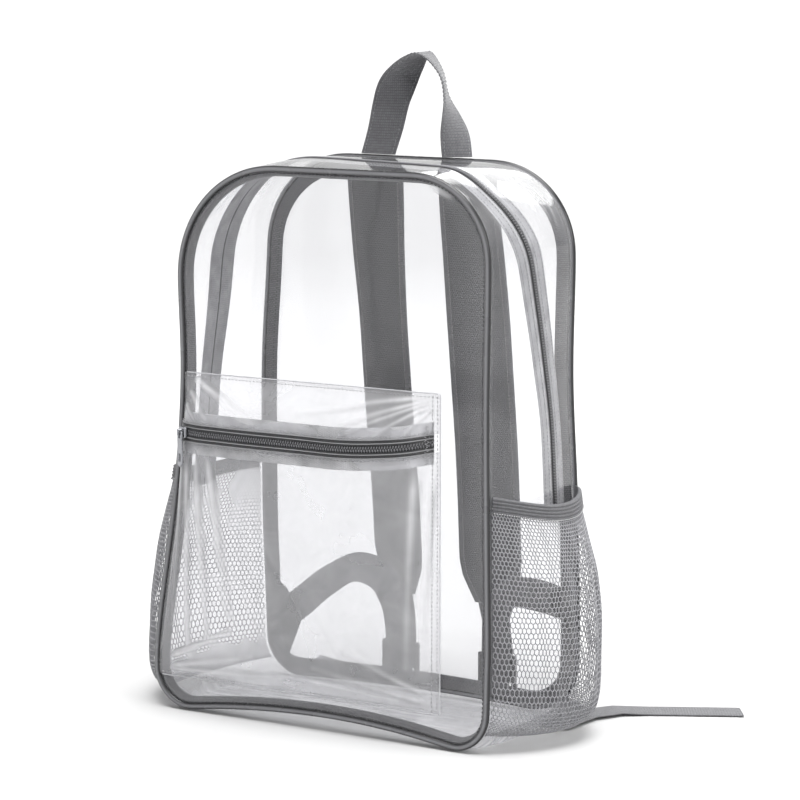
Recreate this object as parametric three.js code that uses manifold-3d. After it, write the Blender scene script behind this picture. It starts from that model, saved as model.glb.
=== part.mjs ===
// Clear backpack with mesh side pockets, a zipped front pocket and padded shoulder straps.
// Millimetres, +Z up. The origin is on the surface the bag stands on, at the middle of its base.
// The front pocket faces -Y, the shoulder straps are on the +Y side, and +X is on the right
// as the front is seen.
import * as THREE from 'three';
import { mergeVertices } from 'three/addons/utils/BufferGeometryUtils.js';
import Module from 'manifold-3d';

// Main body
const bagHeight = 430;
const bagWidth = 300;
const bagDepth = 138;
const wall = 1.0;
const gap = 0.3;
const topCornerRadius = 78;
const bottomCornerRadius = 34;
const frontBow = 10;
const backBow = 3;
const gussetBulge = 6;
const topCrown = 3;
const baseSag = 14;

// Seams
const pipingDiameter = 5;
const bindingWidth = 10;
const bindingThickness = 0.8;

// Main zip, which runs over the top of the gusset from side pocket to side pocket
const zipEndHeight = 178;
const zipTapeWidth = 36;
const zipTapeThickness = 0.8;
const zipOpening = 12;
const zipCoilWidth = 6;
const zipCoilThickness = 2;

// Front pocket
const pocketTop = 268;
const pocketBottom = 27;
const pocketRight = 103;
const pocketProud = 21;
const pocketFlapHeight = 44;
const pocketZipRise = 8;
const pocketTapeWidth = 32;
const pocketOpening = 14;
const pocketCoilWidth = 10;

// Zip sliders and the pull of the pocket zip
const sliderLength = 10;
const sliderWidth = 8;
const sliderThickness = 3;
const bridgeWidth = 2;
const bridgeThickness = 1.2;
const sliderAcross = 0.055;
const pullLength = 27;
const pullWidth = 7;
const pullThickness = 1.6;
const pullPlay = 0.45;
const pullSlotTop = 0.62;
const pullSlotEnd = 0.84;

// Side pockets of coarse net
const hemTop = 190;
const hemSag = 10;
const hemDrop = 7;
const hemHeight = 10;
const hemThickness = 2.4;
const hemOut = 0.53;
const hemLean = 0.06;
const netBottom = 14;
const netBulge = 35;
const netFullness = 0.6;
const pouchLift = 1.2;
const netThickness = 1;
const netColumns = 6;
const netRows = 8;
const netZigzag = 0.17;
const netOpenShare = 0.66;

// Carrying handle
const handleWidth = 31;
const handleThickness = 1.6;
const handleHeight = 80;
const handleSpan = 71.5;

// Shoulder straps
const padWidth = 50;
const padThickness = 8;
const padSpacing = 86;
const padSwing = 38;
const padTurn = 12.5;
const webbingWidth = 25;
const webbingThickness = 1.4;
const lockWidth = 34;
const lockHeight = 30;
const lockThickness = 4;
const lockBarWidth = 4.5;
const lockSlotHeight = 4;
const lockSlotPlay = 1;
const lockSetback = 35;
const lockLeft = 36;
const lockRight = 54;
const archRise = 92;
const tabLength = 28;
const tabHeight = 73;
const tabBottom = 10;
const tabThickness = 1.2;
const foldGap = 0.4;
const foldInset = 2;
const floorLift = 0.1;
const rightTailReach = 250;
const leftTailReach = 130;

// Colours
const clearVinyl = { color: 0xf4f5f6, roughness: 0.12, metalness: 0, transparent: true, opacity: 0.3 };
const greyBead = { color: 0x8d8d8f, roughness: 0.35, metalness: 0 };
const greyTape = { color: 0x77777a, roughness: 0.85, metalness: 0 };
const darkCoil = { color: 0x3c3c3e, roughness: 0.5, metalness: 0 };
const greyNet = { color: 0x9a9a9c, roughness: 0.8, metalness: 0 };
const greyWebbing = { color: 0x67676a, roughness: 0.8, metalness: 0 };
const greyPlastic = { color: 0x5c5c5e, roughness: 0.45, metalness: 0 };
const nickel = { color: 0xc9cacc, roughness: 0.25, metalness: 1 };

const bag = new THREE.Group();
const Y = new THREE.Vector3(0, 1, 0);
const Z = new THREE.Vector3(0, 0, 1);
const vec = (x, y, z) => new THREE.Vector3(x, y, z);
const halfDepth = bagDepth / 2;
const beadRadius = pipingDiameter / 2;

// Adds a named piece to the bag, or to a group that is turned into place
function add(name, geometry, look, parent = bag) {
  const mesh = new THREE.Mesh(geometry, new THREE.MeshStandardMaterial(look));
  mesh.name = name;
  parent.add(mesh);
  return mesh;
}

// Reads a table by its first column: the value of another column, with straight lines between rows
function read(rows, column, key, at) {
  const last = rows.length - 1;
  if (at <= rows[0][key]) return rows[0][column];
  if (at >= rows[last][key]) return rows[last][column];
  const next = rows.findIndex((row) => row[key] >= at);
  const a = rows[next - 1];
  const b = rows[next];
  return a[column] + ((b[column] - a[column]) * (at - a[key])) / (b[key] - a[key]);
}

// Makes a solid from corner points and triangles, with its faces turned outward
function solid(points, triangles) {
  let volume = 0;
  for (const [a, b, c] of triangles) {
    volume += points[a].dot(vec().crossVectors(points[b], points[c]));
  }
  const faces = volume < 0 ? triangles.map(([a, b, c]) => [a, c, b]) : triangles;
  const geometry = new THREE.BufferGeometry();
  const values = points.flatMap((point) => point.toArray());
  geometry.setAttribute('position', new THREE.Float32BufferAttribute(values, 3));
  geometry.setIndex(faces.flat());
  geometry.computeVertexNormals();
  return geometry;
}

// Joins closed meshes and cuts others out of them
const wasm = await Module();
wasm.setup();

function carve(joined, cut) {
  const toManifold = (geometry) => {
    const plain = geometry.clone();
    plain.deleteAttribute('normal');
    plain.deleteAttribute('uv');
    const merged = mergeVertices(plain);
    return new wasm.Manifold(new wasm.Mesh({
      numProp: 3,
      vertProperties: new Float32Array(merged.attributes.position.array),
      triVerts: new Uint32Array(merged.index.array),
    }));
  };
  let result = toManifold(joined[0]);
  for (const piece of joined.slice(1)) result = result.add(toManifold(piece));
  for (const piece of cut) result = result.subtract(toManifold(piece));
  const mesh = result.getMesh();
  const geometry = new THREE.BufferGeometry();
  geometry.setAttribute('position', new THREE.BufferAttribute(mesh.vertProperties, 3));
  geometry.setIndex(new THREE.BufferAttribute(mesh.triVerts, 1));
  geometry.computeVertexNormals();
  return geometry;
}

function steps(from, to, count) {
  return Array.from({ length: count + 1 }, (_, i) => from + ((to - from) * i) / count);
}

// The outward direction of a surface at (u, v), from two short steps on it
function outward(surface, u, v, us, vs) {
  const stepU = (us[us.length - 1] - us[0]) / 500;
  const stepV = (vs[vs.length - 1] - vs[0]) / 500;
  const inside = (value, list) => Math.min(Math.max(value, list[0]), list[list.length - 1]);
  const alongU = surface(inside(u + stepU, us), v).sub(surface(inside(u - stepU, us), v));
  const alongV = surface(u, inside(v + stepV, vs)).sub(surface(u, inside(v - stepV, vs)));
  return alongU.cross(alongV).normalize();
}

// Joins two equal grids of points, one behind the other, into a solid
function gridSolid(points, columns, rows) {
  const back = points.length / 2;
  const triangles = [];
  for (let j = 0; j < rows - 1; j += 1) {
    for (let i = 0; i < columns - 1; i += 1) {
      const a = j * columns + i;
      const [b, c, d] = [a + 1, a + columns, a + columns + 1];
      triangles.push([a, b, d], [a, d, c], [back + a, back + d, back + b], [back + a, back + c, back + d]);
    }
  }
  const rim = [];
  for (let i = 0; i < columns - 1; i += 1) rim.push(i);
  for (let j = 0; j < rows - 1; j += 1) rim.push(j * columns + columns - 1);
  for (let i = columns - 1; i > 0; i -= 1) rim.push((rows - 1) * columns + i);
  for (let j = rows - 1; j > 0; j -= 1) rim.push(j * columns);
  rim.forEach((a, i) => {
    const b = rim[(i + 1) % rim.length];
    triangles.push([a, back + b, b], [a, back + a, back + b]);
  });
  return solid(points, triangles);
}

// A wall of one thickness that follows surface(u, v); out moves its outer face off the surface
function sheet(surface, us, vs, { out = 0, thickness = wall, side = 1 } = {}) {
  const outer = [];
  const inner = [];
  for (const v of vs) {
    for (const u of us) {
      const normal = outward(surface, u, v, us, vs).multiplyScalar(side);
      outer.push(surface(u, v).addScaledVector(normal, out));
      inner.push(surface(u, v).addScaledVector(normal, out - thickness));
    }
  }
  return gridSolid([...outer, ...inner], us.length, vs.length);
}

// A solid through a row of closed sections with equal numbers of points
function loft(sections, closed = false) {
  const count = sections[0].length;
  const points = sections.flat();
  const triangles = [];
  const spans = closed ? sections.length : sections.length - 1;
  for (let j = 0; j < spans; j += 1) {
    const next = (j + 1) % sections.length;
    for (let i = 0; i < count; i += 1) {
      const k = (i + 1) % count;
      const [a, b, c, d] = [j * count + i, j * count + k, next * count + i, next * count + k];
      triangles.push([a, b, d], [a, d, c]);
    }
  }
  if (!closed) {
    const end = (sections.length - 1) * count;
    for (let i = 1; i < count - 1; i += 1) {
      triangles.push([0, i + 1, i], [end, end + i, end + i + 1]);
    }
  }
  return solid(points, triangles);
}

// Outline of the front and back panels: the outer edge of the piping, seen from the front.
// Half widths are shares of half the bag's width, at shares of its height.
const widthRows = [
  { up: 0.00, frontLeft: 1.05, frontRight: 0.96, backLeft: 0.95, backRight: 0.97 },
  { up: 0.09, frontLeft: 1.053, frontRight: 0.96, backLeft: 0.955, backRight: 0.975 },
  { up: 0.19, frontLeft: 1.02, frontRight: 0.967, backLeft: 0.965, backRight: 0.975 },
  { up: 0.27, frontLeft: 0.98, frontRight: 0.963, backLeft: 0.975, backRight: 0.97 },
  { up: 0.42, frontLeft: 0.913, frontRight: 0.957, backLeft: 0.98, backRight: 0.955 },
  { up: 0.62, frontLeft: 0.867, frontRight: 0.953, backLeft: 0.975, backRight: 0.925 },
  { up: 0.80, frontLeft: 0.88, frontRight: 0.96, backLeft: 0.94, backRight: 0.933 },
  { up: 1.00, frontLeft: 0.89, frontRight: 0.96, backLeft: 0.925, backRight: 0.94 },
];

// Corner radii as shares of the named radii
const cornerRows = {
  frontLeft: { top: 1.15, bottom: 0.94 },
  frontRight: { top: 0.83, bottom: 0.9 },
  backLeft: { top: 0.96, bottom: 0.94 },
  backRight: { top: 0.92, bottom: 1.18 },
};

// Numbers of steps on half of the outline: base, lower corner, side, upper corner, top
const baseSteps = 5;
const cornerSteps = 4;
const sideSteps = 9;
const crownSteps = 6;
const sideStart = baseSteps + cornerSteps;
const sideEnd = sideStart + sideSteps;
const topStart = sideEnd + crownSteps;
const topMiddle = topStart + baseSteps;
const loopSteps = 2 * topMiddle;

function cornerRadii(face, hand) {
  const shares = cornerRows[face + hand];
  return { top: topCornerRadius * shares.top, bottom: bottomCornerRadius * shares.bottom };
}

function halfOutline(face, hand, step) {
  const { top, bottom } = cornerRadii(face, hand);
  const edge = (z) => (read(widthRows, face + hand, 'up', z / bagHeight) * bagWidth) / 2;
  const bow = face === 'front' ? frontBow : backBow;
  if (step <= baseSteps) {
    const corner = edge(0) - bottom;
    const x = (corner * step) / baseSteps;
    return { x, z: gap + bow * (1 - (x / corner) ** 2) };
  }
  if (step <= sideStart) {
    const angle = ((step - baseSteps) / cornerSteps) * (Math.PI / 2);
    const z = gap + bottom * (1 - Math.cos(angle));
    return { x: edge(z) - bottom * (1 - Math.sin(angle)), z };
  }
  if (step <= sideEnd) {
    const z = gap + bottom + ((bagHeight - top - bottom - gap) * (step - sideStart)) / sideSteps;
    return { x: edge(z), z };
  }
  if (step <= topStart) {
    const angle = ((step - sideEnd) / crownSteps) * (Math.PI / 2);
    const z = bagHeight - top * (1 - Math.sin(angle));
    return { x: edge(z) - top * (1 - Math.cos(angle)), z };
  }
  const corner = edge(bagHeight) - top;
  return { x: (corner * (topMiddle - step)) / baseSteps, z: bagHeight };
}

// Step 0 is the middle of the base; steps rise on the right, cross the top and fall on the left
function outlinePoint(face, step) {
  const turn = ((step % loopSteps) + loopSteps) % loopSteps;
  if (turn <= topMiddle) return halfOutline(face, 'Right', turn);
  const point = halfOutline(face, 'Left', loopSteps - turn);
  return { x: -point.x, z: point.z };
}

// A point of the outline moved in from the outer edge, with the direction that points out
function edgeAt(face, step, inset) {
  const near = 0.5;
  const a = outlinePoint(face, step - near);
  const b = outlinePoint(face, step + near);
  const length = Math.hypot(b.x - a.x, b.z - a.z);
  const normal = { x: (b.z - a.z) / length, z: -(b.x - a.x) / length };
  const point = outlinePoint(face, step);
  return { x: point.x - normal.x * inset, z: point.z - normal.z * inset, normal };
}

// Where the side of an outline passes a height, as a step number
function sideStep(face, hand, height) {
  const { top, bottom } = cornerRadii(face, hand);
  const share = (height - gap - bottom) / (bagHeight - top - bottom - gap);
  const step = sideStart + share * sideSteps;
  return hand === 'Right' ? step : loopSteps - step;
}

// Half width of a panel at a height, at an inset from the outer edge
function sideX(face, hand, height, inset) {
  const from = baseSteps;
  const to = topStart;
  let low = from;
  let high = to;
  for (let i = 0; i < 30; i += 1) {
    const middle = (low + high) / 2;
    const step = hand === 'Right' ? middle : loopSteps - middle;
    if (edgeAt(face, step, inset).z < height) low = middle;
    else high = middle;
  }
  const step = hand === 'Right' ? low : loopSteps - low;
  return edgeAt(face, step, inset).x;
}

// Piping, panels and bindings
const panelInset = pipingDiameter + gap;
const frontPlane = -halfDepth;
const backPlane = halfDepth;

function piping(face, plane) {
  const sides = 6;
  const sections = [];
  for (let step = 0; step < loopSteps; step += 1) {
    const { x, z, normal } = edgeAt(face, step, beadRadius);
    sections.push(steps(0, 2 * Math.PI, sides).slice(0, sides).map((angle) => vec(
      x + normal.x * beadRadius * Math.cos(angle),
      plane + beadRadius * Math.sin(angle),
      z + normal.z * beadRadius * Math.cos(angle),
    )));
  }
  return loft(sections, true);
}

function binding(face, plane, inward) {
  const near = plane + inward * (wall / 2 + gap);
  const far = near + inward * bindingThickness;
  const sections = [];
  for (let step = 0; step < loopSteps; step += 1) {
    const outer = edgeAt(face, step, panelInset);
    const inner = edgeAt(face, step, panelInset + bindingWidth);
    sections.push([
      vec(outer.x, near, outer.z),
      vec(inner.x, near, inner.z),
      vec(inner.x, far, inner.z),
      vec(outer.x, far, outer.z),
    ]);
  }
  return loft(sections, true);
}

// A panel is a grid of rows between its two sides; the bow of the base fades out over the rows above
function panel(face, plane) {
  const rows = topStart - baseSteps;
  const at = (step) => {
    const { x, z } = edgeAt(face, step, panelInset);
    return vec(x, plane, z);
  };
  const base = (u) => at((2 * u - 1) * baseSteps);
  const surface = (u, v) => {
    if (v >= 1) return at(topMiddle + (1 - 2 * u) * baseSteps);
    const row = baseSteps + v * rows;
    const point = at(loopSteps - row).lerp(at(row), u);
    const bow = base(u).sub(base(0).lerp(base(1), u));
    return point.addScaledVector(bow, (1 - v) ** 2);
  };
  const us = steps(0, 1, 2 * baseSteps);
  const vs = steps(0, 1, rows);
  const points = [-wall / 2, wall / 2].flatMap((depth) => vs.flatMap((v) => us.map((u) => surface(u, v)
    .addScaledVector(Y, depth))));
  return gridSolid(points, us.length, vs.length);
}

add('front_panel', panel('front', frontPlane), clearVinyl);
add('back_panel', panel('back', backPlane), clearVinyl);
add('front_piping', piping('front', frontPlane), greyBead);
add('back_piping', piping('back', backPlane), greyBead);
add('front_binding', binding('front', frontPlane, 1), greyTape);
add('back_binding', binding('back', backPlane, -1), greyTape);

// Gusset: the wall between the two seams, which bulges a little and sags flat onto the floor
const gussetInset = beadRadius - wall / 2;

function gussetPoint(step, share) {
  const front = edgeAt('front', step, gussetInset);
  const back = edgeAt('back', step, gussetInset);
  const mix = (a, b) => a + (b - a) * share;
  const normal = { x: mix(front.normal.x, back.normal.x), z: mix(front.normal.z, back.normal.z) };
  const down = Math.max(0, -normal.z) ** 2;
  const up = Math.max(0, normal.z) ** 2;
  const bulge = gussetBulge * (1 - down - up) + baseSag * down + topCrown * up;
  const swell = bulge * 4 * share * (1 - share);
  const x = mix(front.x, back.x) + normal.x * swell;
  const z = mix(front.z, back.z) + normal.z * swell;
  return vec(x, -halfDepth + bagDepth * share, Math.max(0, z));
}

// A gusset is drawn on surface(u, v) with u along the outline and v from front to back
const firstShare = (beadRadius + gap) / bagDepth;
const lastShare = 1 - firstShare;
const rightEnd = sideStep('front', 'Right', zipEndHeight);
const leftEnd = sideStep('front', 'Left', zipEndHeight);
const archSteps = [rightEnd, ...steps(Math.ceil(rightEnd), Math.floor(leftEnd),
  Math.floor(leftEnd) - Math.ceil(rightEnd)), leftEnd];

// Where the main zip lies between front and back, along the arch from right to left
const zipRows = [
  { along: 0.00, share: 0.70 },
  { along: 0.06, share: 0.67 },
  { along: 0.10, share: 0.58 },
  { along: 0.15, share: 0.44 },
  { along: 0.20, share: 0.34 },
  { along: 0.26, share: 0.26 },
  { along: 0.34, share: 0.34 },
  { along: 0.50, share: 0.46 },
  { along: 0.66, share: 0.54 },
  { along: 0.80, share: 0.55 },
  { along: 0.87, share: 0.49 },
  { along: 0.93, share: 0.39 },
  { along: 1.00, share: 0.36 },
];
const zipShare = (step) => read(zipRows, 'share', 'along', (step - rightEnd) / (leftEnd - rightEnd));

// A band of the gusset between two lines given as functions of the step
function gussetBand(list, from, to, cells, options) {
  const surface = (u, v) => gussetPoint(u, from(u) + (to(u) - from(u)) * v);
  return sheet(surface, list, steps(0, 1, cells), { side: -1, ...options });
}

const shareOf = (length) => length / bagDepth;
const zipFront = (step) => zipShare(step) - shareOf(zipOpening / 2);
const zipBack = (step) => zipShare(step) + shareOf(zipOpening / 2);
add('gusset_front', gussetBand(archSteps, () => firstShare, zipFront, 3, {}), clearVinyl);
add('gusset_back', gussetBand(archSteps, zipBack, () => lastShare, 3, {}), clearVinyl);

const tapeOut = -(wall + 2 * gap);
add('main_zip_tape', gussetBand(archSteps,
  (step) => zipShare(step) - shareOf(zipTapeWidth / 2),
  (step) => zipShare(step) + shareOf(zipTapeWidth / 2), 2,
  { out: tapeOut, thickness: zipTapeThickness }), greyTape);
const coilOut = tapeOut + gap + zipCoilThickness;
add('main_zip_coil', gussetBand(archSteps,
  (step) => zipShare(step) - shareOf(zipCoilWidth / 2),
  (step) => zipShare(step) + shareOf(zipCoilWidth / 2), 1,
  { out: coilOut, thickness: zipCoilThickness }), darkCoil);

// Lower gusset: one clear U below the zip's two ends, flat where it stands
const seamStep = (gap * sideSteps) / (bagHeight - topCornerRadius - bottomCornerRadius);
const lowerStart = leftEnd - loopSteps + seamStep;
const lowerEnd = rightEnd - seamStep;
const lowerSteps = [lowerStart, ...steps(Math.ceil(lowerStart), Math.floor(lowerEnd),
  Math.floor(lowerEnd) - Math.ceil(lowerStart)), lowerEnd];
add('lower_gusset', gussetBand(lowerSteps, () => firstShare, () => lastShare, 6, {}), clearVinyl);

// Main zip slider, closed at the top of the left side and lying flat on the coil
function onGusset(step, share, out) {
  const base = gussetPoint(step, share);
  const along = gussetPoint(step + 0.1, share).sub(gussetPoint(step - 0.1, share)).normalize();
  const across = gussetPoint(step, share + 0.01).sub(gussetPoint(step, share - 0.01)).normalize();
  const normal = vec().crossVectors(across, along).normalize();
  const place = new THREE.Group();
  const level = vec().crossVectors(normal, along).normalize();
  place.matrixAutoUpdate = false;
  place.matrix.makeBasis(along, level, normal).setPosition(base.addScaledVector(normal, out));
  bag.add(place);
  return place;
}

function box(x0, x1, y0, y1, z0, z1) {
  const geometry = new THREE.BoxGeometry(x1 - x0, y1 - y0, z1 - z0);
  geometry.translate((x0 + x1) / 2, (y0 + y1) / 2, (z0 + z1) / 2);
  return geometry;
}

const mainSliderStep = loopSteps - sideEnd - crownSteps / 2;
const mainSliderPlace = onGusset(mainSliderStep, zipShare(mainSliderStep), coilOut + 3 * gap);
add('main_zip_slider', box(-sliderLength / 2, sliderLength / 2, -sliderWidth / 2, sliderWidth / 2,
  0, sliderThickness), nickel, mainSliderPlace);

// Front pocket, which stands proud of the front panel along its zip
// How far out it stands across its width, from the left seam to the right
const acrossRows = [
  { across: 0.00, proud: 0.00 },
  { across: 0.03, proud: 0.48 },
  { across: 0.08, proud: 0.78 },
  { across: 0.20, proud: 0.95 },
  { across: 0.50, proud: 1.00 },
  { across: 0.80, proud: 0.95 },
  { across: 0.92, proud: 0.60 },
  { across: 0.975, proud: 0.00 },
  { across: 1.00, proud: 0.00 },
];

// And over its height, from the bottom seam to the top
const upRows = [
  { up: 0.00, proud: 0.00, rise: 0.0 },
  { up: 0.03, proud: 0.16, rise: 0.0 },
  { up: 0.10, proud: 0.42, rise: 0.1 },
  { up: 0.26, proud: 0.66, rise: 0.3 },
  { up: 0.51, proud: 0.90, rise: 0.7 },
  { up: 0.75, proud: 1.00, rise: 1.0 },
  { up: 0.82, proud: 1.00, rise: 1.0 },
  { up: 0.89, proud: 0.90, rise: 0.8 },
  { up: 0.93, proud: 0.56, rise: 0.4 },
  { up: 0.98, proud: 0.14, rise: 0.0 },
  { up: 1.00, proud: 0.00, rise: 0.0 },
];

const pocketHeight = pocketTop - pocketBottom;
const pocketZipHeight = pocketTop - pocketFlapHeight;
const pocketFlat = halfDepth + wall / 2 + gap + wall;

function pocketPoint(u, height) {
  const up = (height - pocketBottom) / pocketHeight;
  const left = sideX('front', 'Left', height, panelInset);
  const proud = pocketProud * read(acrossRows, 'proud', 'across', u) * read(upRows, 'proud', 'up', up);
  const rise = pocketZipRise * read(upRows, 'rise', 'up', up) * Math.max(0, (u - 0.6) / 0.4) ** 2;
  return vec(left + (pocketRight - left) * u, -pocketFlat - proud, height + rise);
}

const pocketColumns = [0, 0.03, 0.08, 0.2, 0.35, 0.5, 0.65, 0.8, 0.86, 0.92, 0.975, 1];
const coilColumns = pocketColumns.filter((u) => u > 0 && u < 0.97);
const heightAt = (up) => pocketBottom + pocketHeight * up;
const rowSpacing = 2;
const pocketRowsBetween = (low, high) => [low, ...upRows.map((row) => heightAt(row.up))
  .filter((height) => height > low + rowSpacing && height < high - rowSpacing), high];
const openingTop = pocketZipHeight + pocketOpening / 2;
const openingBottom = pocketZipHeight - pocketOpening / 2;
add('pocket_flap', sheet(pocketPoint, pocketColumns, pocketRowsBetween(openingTop, pocketTop)), clearVinyl);
add('pocket_face', sheet(pocketPoint, pocketColumns, pocketRowsBetween(pocketBottom, openingBottom)),
  clearVinyl);
add('pocket_zip_tape', sheet(pocketPoint, coilColumns, [pocketZipHeight - pocketTapeWidth / 2,
  pocketZipHeight, pocketZipHeight + pocketTapeWidth / 2],
{ out: tapeOut, thickness: zipTapeThickness }), greyTape);
add('pocket_zip_coil', sheet(pocketPoint, coilColumns, [pocketZipHeight - pocketCoilWidth / 2,
  pocketZipHeight + pocketCoilWidth / 2], { out: coilOut, thickness: zipCoilThickness }), darkCoil);

// Pocket zip slider and its hanging pull, at the left end of the zip. In the slider's frame +X runs
// along the zip and -Y points out of the pocket. A crossbar of the pull is held under a bridge that
// stands on the slider, and swings there.
const sliderPlace = new THREE.Group();
const sliderSeat = pocketPoint(sliderAcross, pocketZipHeight);
const sliderReach = sliderLength / (2 * bagWidth);
const zipRun = pocketPoint(sliderAcross + sliderReach, pocketZipHeight)
  .sub(pocketPoint(sliderAcross - sliderReach, pocketZipHeight));
sliderPlace.position.copy(sliderSeat);
sliderPlace.rotation.z = Math.atan2(zipRun.y, zipRun.x);
bag.add(sliderPlace);

const sliderFoot = coilOut + gap;
const sliderFace = sliderFoot + sliderThickness;
const bridgeRoom = pullThickness + 2 * pullPlay;
const bridgeOuter = sliderFace + bridgeRoom + bridgeThickness;
const pullDistance = sliderFace + bridgeRoom / 2;
const bridgeHalf = pullThickness / 2 + pullPlay + bridgeThickness;

const sliderBody = box(-sliderLength / 2, sliderLength / 2, -sliderFace, -sliderFoot,
  -sliderWidth / 2, sliderWidth / 2);
const bridge = box(-bridgeWidth / 2, bridgeWidth / 2, -bridgeOuter, -sliderFace + sliderThickness / 2,
  -bridgeHalf, bridgeHalf);
const bridgeSpace = box(-bridgeWidth, bridgeWidth, -sliderFace - bridgeRoom, -sliderFace,
  -bridgeHalf + bridgeThickness, bridgeHalf - bridgeThickness);
add('pocket_zip_slider', carve([sliderBody, bridge], [bridgeSpace]), nickel, sliderPlace);

function pullOutline() {
  const half = pullWidth / 2;
  const crossbar = pullThickness / 2;
  const window = bridgeHalf + bridgeThickness + 2 * pullPlay;
  const shape = new THREE.Shape();
  shape.moveTo(half, crossbar);
  shape.lineTo(-half, crossbar);
  shape.absarc(0, half - pullLength, half, Math.PI, 2 * Math.PI);
  shape.closePath();
  shape.holes.push(slot(bridgeWidth / 2 + pullPlay, -crossbar, -window));
  shape.holes.push(slot(pullWidth / 4, -pullLength * pullSlotTop, -pullLength * pullSlotEnd));
  return shape;
}

function slot(half, high, low) {
  const hole = new THREE.Path();
  hole.moveTo(-half, high);
  hole.lineTo(half, high);
  hole.lineTo(half, low);
  hole.lineTo(-half, low);
  hole.closePath();
  return hole;
}

// Extrudes an outline drawn in x and z along y, from one y to another
function upright(shape, from, to, curveSegments = 6) {
  const options = { depth: to - from, bevelEnabled: false, curveSegments };
  const geometry = new THREE.ExtrudeGeometry(shape, options);
  geometry.rotateX(Math.PI / 2);
  geometry.translate(0, to, 0);
  return geometry;
}
add('pocket_zip_pull', upright(pullOutline(), -pullDistance - pullThickness / 2,
  -pullDistance + pullThickness / 2), nickel, sliderPlace);

// Side pockets: a pouch of net with an elastic hem. A row for each level, as shares of the net's height
// and of its bulge; dip lets the full middle hang lower than the two seams.
const pouchRows = [
  { along: 0.00, up: 0.000, dip: 0.00, out: 0.00 },
  { along: 0.08, up: 0.012, dip: 0.20, out: 0.38 },
  { along: 0.14, up: 0.040, dip: 0.27, out: 0.68 },
  { along: 0.25, up: 0.100, dip: 0.20, out: 0.92 },
  { along: 0.40, up: 0.310, dip: 0.05, out: 1.00 },
  { along: 0.56, up: 0.520, dip: 0.00, out: 1.00 },
  { along: 0.70, up: 0.700, dip: 0.00, out: 0.93 },
  { along: 0.87, up: 0.880, dip: 0.00, out: 0.72 },
  { along: 1.00, up: 1.000, dip: 0.00, out: 0.53 },
];
// The step at which the gusset's side reaches a height
function gussetStepAt(hand, height, share) {
  let low = baseSteps;
  let high = sideEnd;
  for (let i = 0; i < 24; i += 1) {
    const middle = (low + high) / 2;
    const step = hand === 'Right' ? middle : loopSteps - middle;
    if (gussetPoint(step, share).z < height) low = middle;
    else high = middle;
  }
  return hand === 'Right' ? low : loopSteps - low;
}

const fullness = (s) => Math.sin(Math.PI * s) ** netFullness;
const pouchTop = (s) => hemTop - hemSag * Math.sin(Math.PI * s) - hemDrop * s;
const handSign = { Right: 1, Left: -1 };

// A point off the gusset's side: s runs from the front seam to the back one, clear of both by a margin
function offGusset(hand, s, height, out, dip, margin) {
  const first = firstShare + margin / bagDepth;
  const share = first + (1 - 2 * first) * s;
  const point = gussetPoint(gussetStepAt(hand, height, share), share);
  point.x += handSign[hand] * (pouchLift + netBulge * out * fullness(s));
  point.z -= netBulge * dip * fullness(s);
  return point;
}

function netPoint(hand, s, along) {
  const top = pouchTop(s) - hemHeight - gap;
  const height = netBottom + (top - netBottom) * read(pouchRows, 'up', 'along', along);
  return offGusset(hand, s, height, read(pouchRows, 'out', 'along', along),
    read(pouchRows, 'dip', 'along', along), netThickness);
}

// Hexagonal openings in staggered rows: each cell has six corners and a smaller hexagon cut in it
function net(hand) {
  const surface = (s, along) => netPoint(hand, s, along);
  const us = [0, 1];
  const vs = [0, 1];
  const flat = [];
  const corners = new Map();
  const rowHeight = 1 / netRows;
  const corner = (i, j) => {
    const name = `${i},${j}`;
    if (!corners.has(name)) {
      const edge = j === 0 || j === netRows;
      const shift = edge ? 0 : ((i + j) % 2 === 0 ? 1 : -1) * rowHeight * netZigzag;
      flat.push([i / (2 * netColumns), j * rowHeight + shift]);
      corners.set(name, flat.length - 1);
    }
    return corners.get(name);
  };
  const face = [];
  const walls = [];
  for (let row = 0; row < netRows; row += 1) {
    const first = row % 2;
    if (first) {
      for (const i of [0, 2 * netColumns - 1]) {
        const [a, b] = [corner(i, row), corner(i + 1, row)];
        const [c, d] = [corner(i + 1, row + 1), corner(i, row + 1)];
        face.push([a, b, c], [a, c, d]);
      }
    }
    for (let i = first; i + 2 <= 2 * netColumns; i += 2) {
      const ring = [corner(i, row), corner(i + 1, row), corner(i + 2, row),
        corner(i + 2, row + 1), corner(i + 1, row + 1), corner(i, row + 1)];
      const middle = [0, 1].map((k) => ring.reduce((sum, at) => sum + flat[at][k], 0) / ring.length);
      const hole = ring.map((at) => {
        flat.push([0, 1].map((k) => middle[k] + (flat[at][k] - middle[k]) * netOpenShare));
        return flat.length - 1;
      });
      ring.forEach((a, k) => {
        const next = (k + 1) % ring.length;
        face.push([a, ring[next], hole[next]], [a, hole[next], hole[k]]);
        walls.push([hole[next], hole[k]]);
      });
    }
  }
  for (let i = 0; i < 2 * netColumns; i += 1) {
    walls.push([corner(i, 0), corner(i + 1, 0)], [corner(i + 1, netRows), corner(i, netRows)]);
  }
  for (let j = 0; j < netRows; j += 1) {
    walls.push([corner(2 * netColumns, j), corner(2 * netColumns, j + 1)]);
    walls.push([corner(0, j + 1), corner(0, j)]);
  }
  const points = [netThickness, 0].flatMap((lift) => flat.map(([s, along]) => surface(s, along)
    .addScaledVector(outward(surface, s, along, us, vs), handSign[hand] * lift)));
  const back = flat.length;
  const triangles = face.flatMap(([a, b, c]) => [[a, b, c], [back + a, back + c, back + b]]);
  for (const [a, b] of walls) triangles.push([a, back + b, b], [a, back + a, back + b]);
  return solid(points, triangles);
}

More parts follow.
